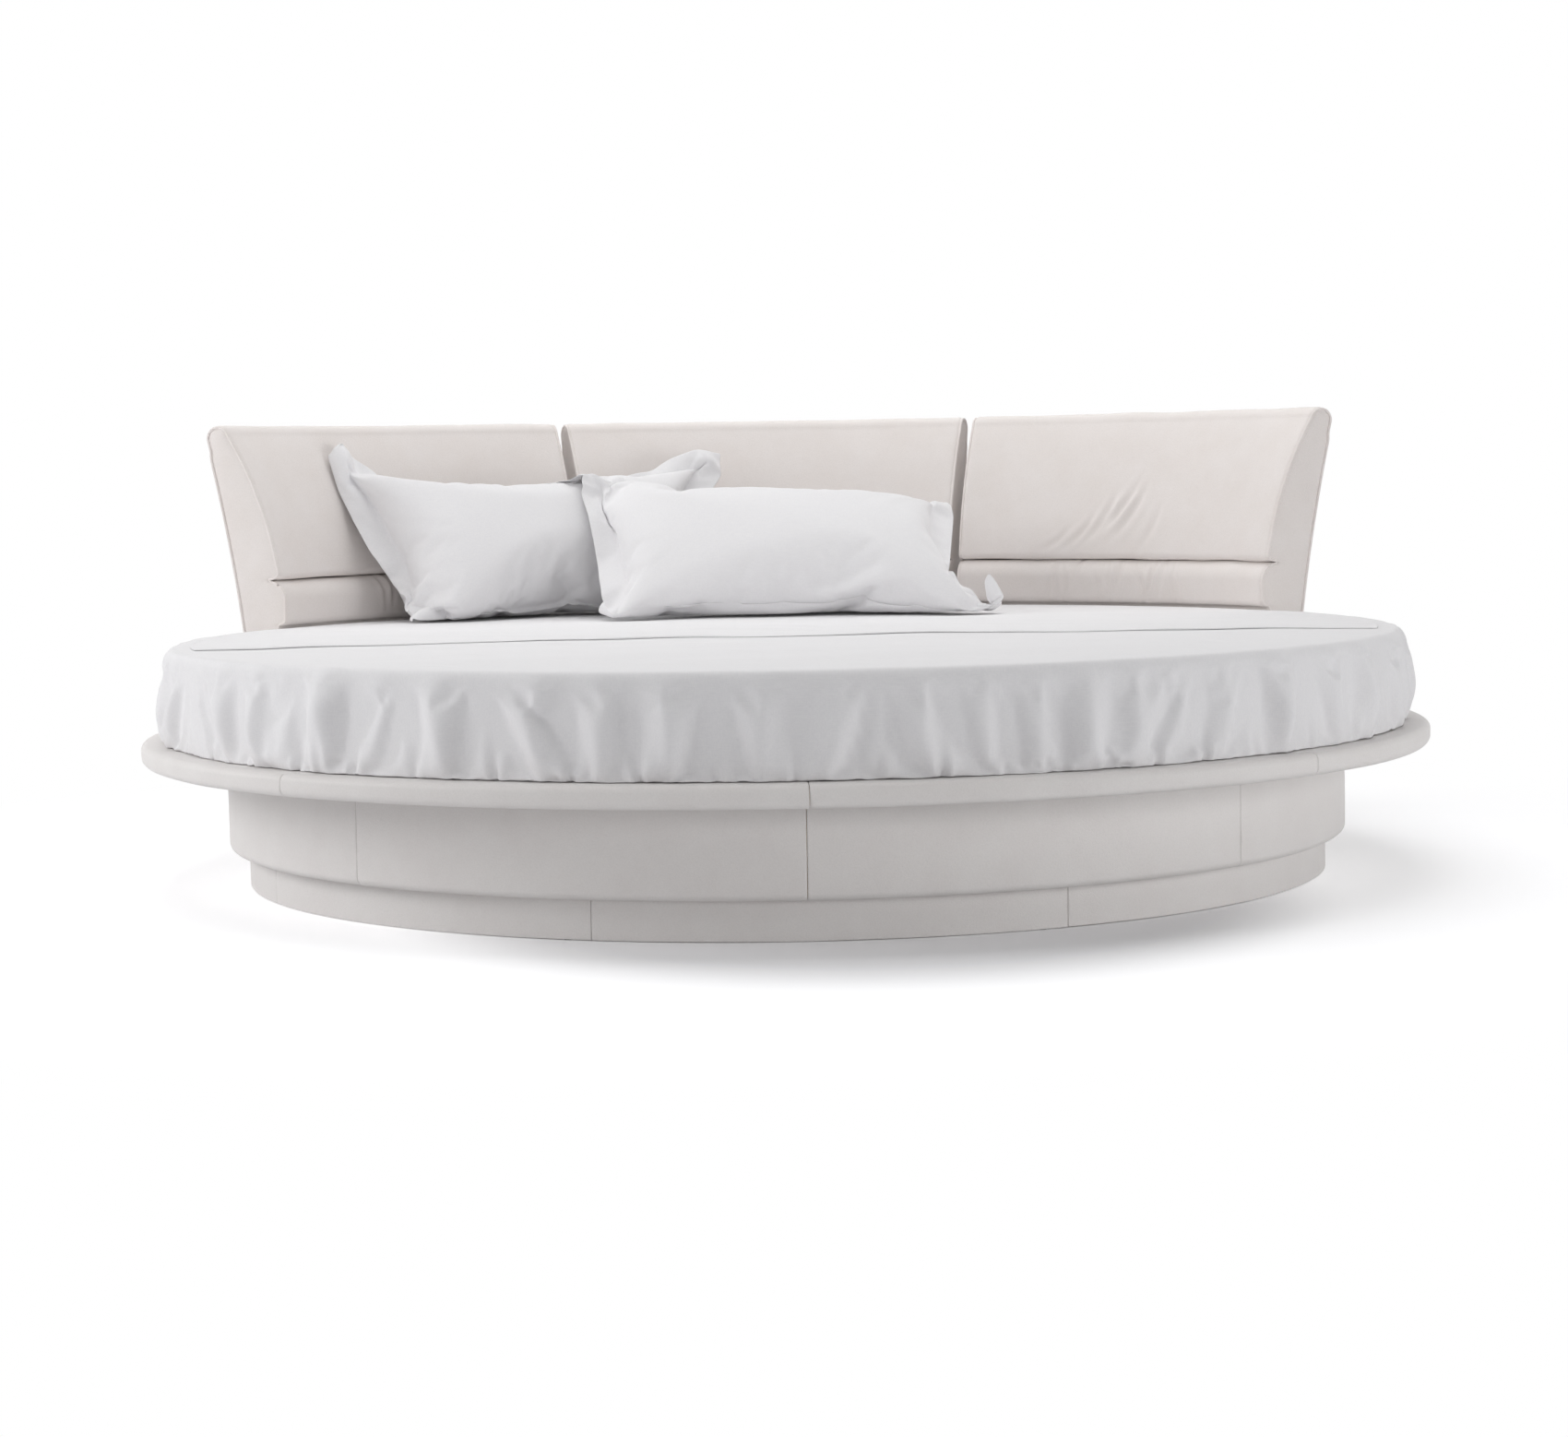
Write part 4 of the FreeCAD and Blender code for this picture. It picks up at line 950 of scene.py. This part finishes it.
# %% A pad
MODULE_SPAN = 41.6
MODULES = (("left", 132.7), ("centre", 90.0), ("right", 47.3))
WELT_R = 2.9 * MM
END_DROP = 4.0 * MM                     # how much smaller a module's end is than its middle
END_PANEL = math.degrees(4 * MM / 1.2)  # degrees that the leather of one end takes
PAD_R = 1.15                            # radius at which lengths along a pad are measured


def pad_skin(name, face, inner, heading, seed, creases=(), roll=9 * MM, wave=1.0 * MM):
    """A pad: its leather face and its inner side, carried round. Creases are in metres along and down."""
    normal = outward(face)
    run = along(face)
    span = MODULE_SPAN - 2 * END_PANEL
    length = math.radians(span) * PAD_R
    rows = []
    for place in stations(length, 4.5 * MM, fine=(0, 0.4, 1.0, 1.9, 3.2, 5, 7.5, 11, 16, 20)):
        end = min(place, length - place)
        turn = heading - span / 2 + math.degrees(place / PAD_R)
        side = place - length / 2
        drop = end_roll(end, roll) * 0.55
        lift = waves(side, run, seed, (0.14, 0.26), wave) * (1 - math.exp(-(end / 0.03) ** 2))
        ease = 1 - math.exp(-(end / 0.02) ** 2)
        for entry in creases:
            lift = lift + crease(side, run, *entry) * ease
        outer = face + normal * (lift - drop)[:, None]
        loop = np.concatenate((outer, inner))
        rows.append(round_bed(loop[:, 0], turn, loop[:, 1]))
    return loft(name, np.array(rows), leather, smooth=60)


upper_line, lower_line = upper_face(), lower_face()
upper_inner = flare(0.5404, 0.802, SHELL_INSIDE, 30 * MM)
lower_inner = np.array([(1.152, 0.2835), (1.152, 0.434)])
lower_inner = np.concatenate((lower_inner, flare(0.434, 0.5386, SHELL_INSIDE, 30 * MM)))
print("upper pad: %.3f m over its face, lower pad: %.3f m" % (along(upper_line)[-1], along(lower_line)[-1]))

# %% [markdown]
# The leather was pulled tight over the foam by hand, and it shows where: the right module has soft folds
# that run up from the tuck, and the lower pads pucker where the mattress pushes them back. Every crease has
# its own place, direction, length, width and depth.

# %% Creases
UPPER_CREASES = {           # (along, down), angle in degrees, length, width, depth
    "left": [((0.10, 0.37), 75, 0.07, 0.018, 1.1 * MM), ((-0.12, 0.38), 100, 0.05, 0.015, 0.8 * MM)],
    "centre": [((0.24, 0.36), 100, 0.06, 0.016, 0.9 * MM), ((-0.22, 0.37), 80, 0.05, 0.016, 0.8 * MM)],
    "right": [((0.00, 0.33), 60, 0.055, 0.010, 5.0 * MM), ((0.03, 0.32), 54, 0.06, 0.009, 5.5 * MM),
              ((0.07, 0.34), 58, 0.05, 0.009, 4.5 * MM), ((-0.06, 0.36), 68, 0.05, 0.010, 3.0 * MM),
              ((0.12, 0.37), 48, 0.045, 0.008, 4.0 * MM), ((0.18, 0.39), 38, 0.035, 0.008, 2.8 * MM)],
}
PUCKERED = {"left": (-0.30, 0.10), "centre": (-0.25, 0.25), "right": (-0.15, 0.19)}    # from, to, along


def lower_creases(seed, first, last, count=10):
    """Short upright puckers under the tuck."""
    dice = np.random.default_rng(seed)
    out = []
    for place in np.linspace(first, last, count) + dice.uniform(-0.014, 0.014, count):
        out.append(((place, dice.uniform(0.045, 0.085)), 90 + dice.uniform(-14, 14),
                    dice.uniform(0.026, 0.045), dice.uniform(0.0055, 0.0085), dice.uniform(2.5, 5.0) * MM))
    return out


# %% Gusset and welt
def end_outline():
    """The closed outline of a module's end, from the foot of its front up, over and down the back."""
    low, up = lower_face()[::-1], upper_face()[::-1]
    low, up = low[low[:, 0] < 1.1545], up[2:]
    low, up = low + outward(low) * END_DROP, up + outward(up) * END_DROP
    return joined(low, np.array([(1.164, 0.5397)]), up, flare(0.790, 0.2835, step=16 * MM))


def resampled(line, count):
    """The line as that many points, evenly spread."""
    run = along(line)
    at = np.linspace(0, run[-1], count)
    return np.stack((np.interp(at, run, line[:, 0]), np.interp(at, run, line[:, 1])), 1)


def gusset(name, heading, way):
    """The leather panel on one end of a module, as a ladder between its front and its back edge. Way is 1
    at the larger heading and -1 at the smaller."""
    outline = end_outline()
    summit = int(outline[:, 1].argmax())
    front, behind = resampled(outline[:summit + 1], 170), resampled(outline[summit:][::-1], 170)
    rungs = np.concatenate(([0, 0.012, 0.03, 0.06, 0.1, 0.16], np.linspace(0.24, 0.76, 8),
                            [0.84, 0.9, 0.94, 0.97, 0.988, 1]))
    rows = []
    for i, (a, b) in enumerate(zip(front, behind)):
        width = np.hypot(*(b - a)) + 1e-6
        edge = np.minimum(rungs, 1 - rungs) * width
        near_top = np.hypot(*(outline[summit] - (a + b) / 2))
        edge = np.minimum(edge, near_top)
        full = 0.3 * MM + 3.2 * MM * (1 - np.exp(-edge / (9 * MM)))
        full = full + waves(rungs * width, a[1], 400 + int(heading) + way, (0.09, 0.2), 0.7 * MM) * np.clip(
            edge / 0.02, 0, 1)
        line = a + (b - a) * rungs[:, None]
        turn = heading + way * (MODULE_SPAN / 2 - END_PANEL + np.degrees(full / 1.2))
        base = heading + way * (MODULE_SPAN / 2 - END_PANEL)
        rows.append(np.concatenate((round_bed(line[:, 0], turn, line[:, 1]),
                                    round_bed(line[::-3, 0], base, line[::-3, 1]))))
    return loft(name, np.array(rows), leather, smooth=70)


def tube(name, points, radius, finish, sides=10):
    """A closed round cord through a closed line of points."""
    points = np.asarray(points)
    run = np.roll(points, -1, 0) - np.roll(points, 1, 0)
    run /= np.linalg.norm(run, axis=1)[:, None]
    outer = points - points.mean(0)
    outer -= (outer * run).sum(1)[:, None] * run
    outer /= np.linalg.norm(outer, axis=1)[:, None]
    third = np.cross(run, outer)
    turns = np.linspace(0, 2 * math.pi, sides, endpoint=False)
    rings = (points[:, None, :] + radius * (outer[:, None, :] * np.cos(turns)[None, :, None]
                                            + third[:, None, :] * np.sin(turns)[None, :, None]))
    faces = grid_faces(len(points), sides, wrap_rows=True, wrap_columns=True)
    return finished(name, rings.reshape(-1, 3), faces, finish, smooth=180)


def welt(name, heading, way):
    """The cord in the seam round a gusset."""
    outline = spaced(end_outline(), 6 * MM)
    smooth = outline.copy()
    for _ in range(2):
        smooth = (np.roll(smooth, 1, 0) + 2 * smooth + np.roll(smooth, -1, 0)) / 4
    turn = heading + way * (MODULE_SPAN / 2 - END_PANEL + math.degrees(1.3 * MM / 1.2))
    # The cord's lighter leather is a painted highlight.
    return tube(name, round_bed(smooth[:, 0], turn, smooth[:, 1]), WELT_R, piping_leather_painted_highlight)


# %% Build the three modules
back_line = joined(flare(0.799, 0.2825, step=14 * MM))[::-1]
for side, heading in MODULES:
    body = side + "_module"
    upper = pad_skin(side + "_upper_cushion", upper_line, upper_inner, heading, 100 + int(heading),
                     UPPER_CREASES[side])
    lower = pad_skin(side + "_lower_cushion", lower_line, lower_inner, heading, 200 + int(heading),
                     lower_creases(int(heading), *PUCKERED[side]), wave=0.8 * MM)
    for piece, node in ((upper, "_upper_pad"), (lower, "_lower_pad")):
        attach(piece, body)
        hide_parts(side + node)
    ends = merged(side + "_gussets", [gusset(side + "_gusset_%d" % i, heading, way)
                                      for i, way in enumerate((-1, 1))])
    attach(ends, body)
    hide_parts(side + "_end_panels")
    cords = merged(side + "_welts", [welt(side + "_welt_%d" % i, heading, way)
                                     for i, way in enumerate((-1, 1))])
    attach(cords, body)
    back = panel(side + "_back_panel", back_line, 1.22, heading, MODULE_SPAN - 2 * END_PANEL,
                 roll=3 * MM, seed=300 + int(heading), wave=0.8 * MM, finish=leather)
    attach(back, body)
    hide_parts(side + "_back_cover")
print("headboard modules:", len(MODULES))

# %% [markdown]
# ## Pillows
#
# A pillowcase is two rectangles sewn together, with a second seam some 5 cm in from the edge. The filling
# is inside that seam, and outside it the border stands free. A filled bag of flat cloth must pucker along
# its seam, and a solver finds those puckers by itself: the mesh starts as a thin lens, its flat shape is
# the real rectangle, and air pressure blows up only the part inside the seam. It is simulated where it
# lies, leaning back, so its foot flattens on the bed and the border hangs as cotton does.

# %% A pillow as it starts
CASE_WIDE, CASE_DEEP = 0.830, 0.500     # inside the seam, as cut
BORDER = 0.058                          # free cloth outside the seam
FOOT_BORDER = 0.012                     # less at the foot, where it is folded under
FULL = 0.085                            # thickness of the bag before air goes in
CELL = 10 * MM


def pillow_lines(length, low, high):
    """Grid lines across a pillow: border, body, border. Gives the places and which lines are seams."""
    body = np.linspace(-length / 2, length / 2, int(round(length / CELL)) + 1)
    before = -length / 2 - np.linspace(low, 0, max(1, int(round(low / CELL))) + 1)[:-1]
    after = length / 2 + np.linspace(0, high, max(1, int(round(high / CELL))) + 1)[1:]
    return np.concatenate((before, body, after)), len(before), len(before) + len(body) - 1


def lean(tilt, yaw, spin, reach, heading, foot_height, half):
    """The matrix that spins a flat pillow in its plane, leans it back, turns it and puts its foot on the
    bed, at a reach and a heading from the bed's axis."""
    slope = math.radians(90 - tilt)
    place = Matrix.Translation((reach * math.cos(math.radians(heading)),
                                reach * math.sin(math.radians(heading)), foot_height))
    up = Matrix.Translation((0, half * math.cos(slope), half * math.sin(slope)))
    return (place @ Matrix.Rotation(math.radians(yaw), 4, "Z") @ up @ Matrix.Rotation(slope, 4, "X")
            @ Matrix.Rotation(math.radians(spin), 4, "Z"))


def pillow_cage(name, matrix, swings, spread=0.0, slant=0.0, tuck=0.0):
    """The bag before it is blown up: a front layer and a back layer that share the seam's points, and a
    border of one layer. Swings bend the border out of the pillow's plane. Spread widens its top, slant
    moves its top sideways and tuck takes the side border in towards the foot."""
    xs, x0, x1 = pillow_lines(CASE_WIDE, BORDER, BORDER)
    ys, y0, y1 = pillow_lines(CASE_DEEP, FOOT_BORDER, BORDER)
    X, Y = np.meshgrid(xs, ys, indexing="ij")
    inside_x = np.clip(1 - (2 * X / CASE_WIDE) ** 2, 0, 1)
    inside_y = np.clip(1 - (2 * Y / CASE_DEEP) ** 2, 0, 1)
    puff = FULL / 2 * inside_x ** 0.45 * inside_y ** 0.5
    narrow_x = 0.985 - 0.025 * inside_y         # a filled case is smaller than its cut
    narrow_y = 0.975 - 0.035 * inside_x
    edge_x = np.clip(np.abs(X) - CASE_WIDE / 2, 0, 1)
    edge_y = np.clip(Y - CASE_DEEP / 2, 0, 1)
    bend = swings(X, Y, edge_x, edge_y)
    low = np.clip((0.04 - Y) / (CASE_DEEP / 2), 0, 1) ** 1.5 * tuck
    X = np.sign(X) * (np.minimum(np.abs(X), CASE_WIDE / 2) + edge_x * (1 - low))
    X = X * (1 + spread * 2 * Y / CASE_DEEP) + slant * Y
    front = np.stack((X * narrow_x, Y * narrow_y, puff + bend), -1)
    rear = np.stack((X * narrow_x, Y * narrow_y, -puff + bend), -1)
    flat = np.stack((X, Y, 0 * X), -1)
    rows, columns = X.shape
    index = np.arange(rows * columns).reshape(rows, columns)
    core = np.zeros((rows, columns), bool)
    core[x0 + 1:x1, y0 + 1:y1] = True
    second = index.copy()
    second[core] = rows * columns + np.arange(core.sum())
    places = np.concatenate((front.reshape(-1, 3), rear[core]))
    table = np.concatenate((flat.reshape(-1, 3), flat[core]))
    faces = front_faces, rear_faces, border_faces = [], [], []
    for i in range(rows - 1):
        for j in range(columns - 1):
            quad = (index[i, j], index[i + 1, j], index[i + 1, j + 1], index[i, j + 1])
            if x0 <= i < x1 and y0 <= j < y1:
                front_faces.append(quad)
                rear_faces.append((second[i, j], second[i, j + 1], second[i + 1, j + 1], second[i + 1, j]))
            else:
                border_faces.append(quad)
    turn = np.array(matrix)
    places = places @ turn[:3, :3].T + turn[:3, 3]
    mesh = bpy.data.meshes.new(name)
    mesh.from_pydata([tuple(p) for p in places], [],
                     [tuple(int(k) for k in quad) for part in faces for quad in part])
    piece = bpy.data.objects.new(name, mesh)
    bpy.context.collection.objects.link(piece)
    seam = np.zeros((rows, columns), bool)
    seam[x0:x1 + 1, y0:y1 + 1] = True
    air = np.clip(3.2 * np.sqrt(inside_x * inside_y), 0.08, 1) * seam       # the corners stay empty
    return piece, table, np.concatenate((air.ravel(), air[core])), faces


LAYER = 0.9 * MM                        # half the thickness of the border


def sewn_case(name, cage, faces, finish):
    """The case from its simulated cage: the border becomes two layers that are folded over at its edge."""
    front, rear, border = faces
    places = places_of(cage)
    normals = np.zeros_like(places)
    for quad in border:
        a, b, c, d = (places[k] for k in quad)
        n = np.cross(c - a, d - b)
        for k in quad:
            normals[k] += n
    size = np.linalg.norm(normals, axis=1)
    on_border = size > 0
    normals[on_border] /= size[on_border][:, None]
    count = len(places)
    over, below = places.copy(), places.copy()
    over[on_border] += normals[on_border] * LAYER
    below[on_border] -= normals[on_border] * LAYER
    verts = np.concatenate((over, below))
    quads = front + [tuple(k + count for k in q) for q in rear]
    quads += border + [tuple(k + count for k in q[::-1]) for q in border]
    edges = {}
    for quad in border:
        for a, b in zip(quad, quad[1:] + quad[:1]):
            edges.setdefault((min(a, b), max(a, b)), []).append((a, b))
    body_edges = set()
    for quad in front:
        for a, b in zip(quad, quad[1:] + quad[:1]):
            body_edges.add((min(a, b), max(a, b)))
    for key, uses in edges.items():
        if len(uses) == 1 and key not in body_edges:
            a, b = uses[0]
            quads.append((b, a, a + count, b + count))
    piece = finished(name, verts, quads, finish, smooth=180)
    work = bmesh.new()
    work.from_mesh(piece.data)
    bmesh.ops.delete(work, geom=[v for v in work.verts if not v.link_faces], context="VERTS")
    bmesh.ops.recalc_face_normals(work, faces=work.faces)
    work.to_mesh(piece.data)
    work.free()
    return piece


def blown_pillow(name, cage_name, matrix, swings, colliders, **shape):
    """A pillow: its cage, settled against the colliders with air in it, and then the case on that."""
    cage, table, blown, faces = pillow_cage(cage_name, matrix, swings, **shape)
    settle(cage, 24, flat=table, blown=blown, pressure=5.0, gravity=0.15, stiffness=12, bending=0.25,
           mass=0.15, gap=2 * MM, colliders=colliders)
    pillow = sewn_case(name, cage, faces, case_cotton)
    bpy.data.objects.remove(cage)
    return pillow


# %% What the pillows lie against
def plain_wall(name, rows):
    """A grid that cloth can't pass while it settles."""
    rows = np.array(rows)
    return finished(name, rows.reshape(-1, 3), grid_faces(*rows.shape[:2]), ticking)


bed_wall = plain_wall("bed_wall", [[(x, y, sheet_height(x, y) + 1.6 * MM)
                                    for y in np.linspace(-0.4, 1.12, 30)]
                                   for x in np.linspace(-1.12, 0.9, 40)])
board_wall = plain_wall("board_wall", [round_bed(upper_line[:, 0] - 3 * MM, turn, upper_line[:, 1])
                                       for turn in np.linspace(66, 156, 46)])

# %% Rear pillow
FOOT_HEIGHT = 0.4444
HALF_DEEP = 0.235                       # from a pillow's foot to its middle, along its slope
rear_matrix = lean(34, 20, 6, 1.118 - 0.300, 122.8, FOOT_HEIGHT, HALF_DEEP)


def rear_swings(x, y, edge_x, edge_y):
    """Its top border nods forward, and both borders ripple."""
    return -0.25 * edge_y + 0.2 * edge_x * np.sin(y * 14 + 1) + 0.10 * edge_y * np.sin(x * 17)


rear_pillow = blown_pillow("rear_cotton_pillow", "rear_cage", rear_matrix, rear_swings,
                           [bed_wall, board_wall], spread=0.09, slant=0.05, tuck=0.9)

# %% Front pillow
front_matrix = lean(52, -2, -1.0, 1.118 - 0.656, 87, FOOT_HEIGHT, HALF_DEEP)


def front_swings(x, y, edge_x, edge_y):
    """Its top border falls back, and the lower part of its right border lies down."""
    lower_right = edge_x * (x > 0)
    return -0.35 * edge_y - 0.3 * lower_right * np.clip(-y * 6, 0, 1) + 0.15 * edge_x * np.sin(y * 15)


front_pillow = blown_pillow("front_cotton_pillow", "front_cage", front_matrix, front_swings,
                            [bed_wall, rear_pillow], spread=-0.02, slant=-0.24)
for wall in (bed_wall, board_wall):
    bpy.data.objects.remove(wall)
for piece, node in ((rear_pillow, "rear_pillow"), (front_pillow, "front_pillow")):
    fine = piece.modifiers.new("smooth folds", "SUBSURF")
    fine.levels = fine.render_levels = 1
    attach(piece, "bed")
    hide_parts(node)
    corners = places_of(piece)

# %% [markdown]
# ## Floor, light and surroundings
#
# The bed stands on a white studio floor that runs out into white. The floor takes light and shadow as any
# matt floor does, and for the camera it also glows a little, so that the unshadowed floor is white and the
# bed's own shadow shows. The glow is weaker under the bed and in front of its foot: that dim patch is a
# painted shadow, laid over the bed's own to make it deeper there. Seven soft boxes give the light: two from
# the left, two from the right, of which one lies low, one in front of the foot, one behind, and the
# strongest over the bed.

# %% Floor
# Painted shadow: near the foot the glow falls to what is left of it, so the floor there is darker than its
# lighting makes it.
GLOW, GLOW_IN_PAINTED_SHADOW = 0.45, 0.10            # strength of the glow, and what is left of it near the foot
WHITE_FROM, WHITE_BY = 1.35, 2.3        # radii between which the floor runs out into white
PAINTED_SHADOW_TO, PAINTED_SHADOW_BY = 0.79, 1.12             # how far from the dim patch's middle the glow comes back


def seen_directly(tree):
    """1 for what the camera sees, also in metal or through glass, and 0 for the light on the bed."""
    ray = add(tree, "LightPath")
    seen = ray.outputs["Is Camera Ray"]
    for kind in ("Is Glossy Ray", "Is Transmission Ray"):
        seen = add(tree, "Math", {0: seen, 1: ray.outputs[kind]}, operation="MAXIMUM").outputs[0]
    return seen


def floor_finish():
    """A matt white floor with the camera's glow, which is dimmed to a painted shadow near the foot and turns
    to plain white further out.
    """
    material, tree, place = new_finish("white_studio_floor")
    part = add(tree, "SeparateXYZ", {0: place})
    flat_place = add(tree, "CombineXYZ", {"X": part.outputs[0], "Y": part.outputs[1]})
    reach = add(tree, "VectorMath", {0: flat_place.outputs[0]}, operation="LENGTH").outputs["Value"]
    far = add(tree, "MapRange", {"Value": reach, "From Min": WHITE_FROM, "From Max": WHITE_BY},
              interpolation_type="SMOOTHERSTEP").outputs[0]
    seen = seen_directly(tree)
    # Painted shadow: an oval patch under the bed and in front of its foot, where the glow is dimmed.
    foot = add(tree, "Mapping", {"Vector": flat_place.outputs[0], "Location": (-0.14, 0.45, 0),
                                 "Scale": (1.3, 1, 1)})
    off_painted_shadow = add(tree, "VectorMath", {0: foot.outputs[0]}, operation="LENGTH").outputs["Value"]
    strength = add(tree, "MapRange", {"Value": off_painted_shadow, "From Min": PAINTED_SHADOW_TO, "From Max": PAINTED_SHADOW_BY,
                                      "To Min": GLOW_IN_PAINTED_SHADOW, "To Max": GLOW},
                   interpolation_type="SMOOTHSTEP").outputs[0]
    near_glow = add(tree, "Math", {0: seen, 1: strength}, operation="MULTIPLY")
    matt = add(tree, "BsdfDiffuse", {"Color": linear("#eeeef0")})
    glow = add(tree, "Emission", {"Color": (1, 1, 1, 1), "Strength": near_glow.outputs[0]})
    lit = add(tree, "AddShader", {0: matt.outputs[0], 1: glow.outputs[0]})
    white = add(tree, "Emission", {"Color": (1, 1, 1, 1), "Strength": seen})
    away = add(tree, "Math", {0: far, 1: seen}, operation="MULTIPLY")
    both = add(tree, "MixShader", {0: away.outputs[0], 1: lit.outputs[0], 2: white.outputs[0]})
    show(tree, both.outputs[0])
    return material


FLOOR = 30.0                            # from the bed's axis to the floor's edge
floor = finished("floor", [(-FLOOR, -FLOOR, 0), (FLOOR, -FLOOR, 0), (FLOOR, FLOOR, 0), (-FLOOR, FLOOR, 0)],
                 [(0, 1, 2, 3)], floor_finish())

# %% Surroundings
AMBIENT = 0.06                          # light from all round, where a strength of 1 is white
world = bpy.data.worlds.new("white_studio")
bpy.context.scene.world = world
world.use_nodes = True
tree = world.node_tree
tree.nodes.clear()
strength = add(tree, "MapRange", {"Value": seen_directly(tree), "To Min": AMBIENT, "To Max": 1.0})
around = add(tree, "Background", {"Color": (1, 1, 1, 1), "Strength": strength.outputs[0]})
add(tree, "OutputWorld", {"Surface": around.outputs[0]})

# %% Lamps
LAMPS = (
    # name, place, aimed at, width, height, watts
    ("soft_box_left", (-4.9, 0.2, 1.8), (0, 0, 0.5), 3.0, 2.0, 60),
    ("soft_box_left_front", (-4.2, -1.7, 2.4), (0, 0, 0.5), 3.0, 2.2, 60),
    ("soft_box_right", (4.6, -2.6, 1.1), (0, 0, 0.3), 2.4, 1.6, 46),
    ("soft_box_right_low", (4.8, -1.2, 0.30), (0, -0.3, 0.25), 2.4, 0.5, 28),
    ("soft_box_over", (0, 0.2, 4.2), (0, 0, 0), 4.0, 4.0, 92),
    ("soft_box_behind", (0, 2.6, 3.2), (0, 0, 0.4), 4.0, 2.0, 38),
    ("soft_box_front", (0.2, -6.4, 1.3), (0, 0, 0.3), 5.0, 1.6, 64),
)
for name, place, target, wide, high, watts in LAMPS:
    lamp = bpy.data.lights.new(name, "AREA")
    lamp.shape = "RECTANGLE"
    lamp.size, lamp.size_y, lamp.energy = wide, high, watts
    holder = bpy.data.objects.new(name, lamp)
    holder.location = place
    holder.rotation_euler = (Vector(target) - Vector(place)).to_track_quat("-Z", "Y").to_euler()
    bpy.context.collection.objects.link(holder)
bpy.context.scene.view_settings.view_transform = "Standard"
print("lamps:", len(LAMPS))
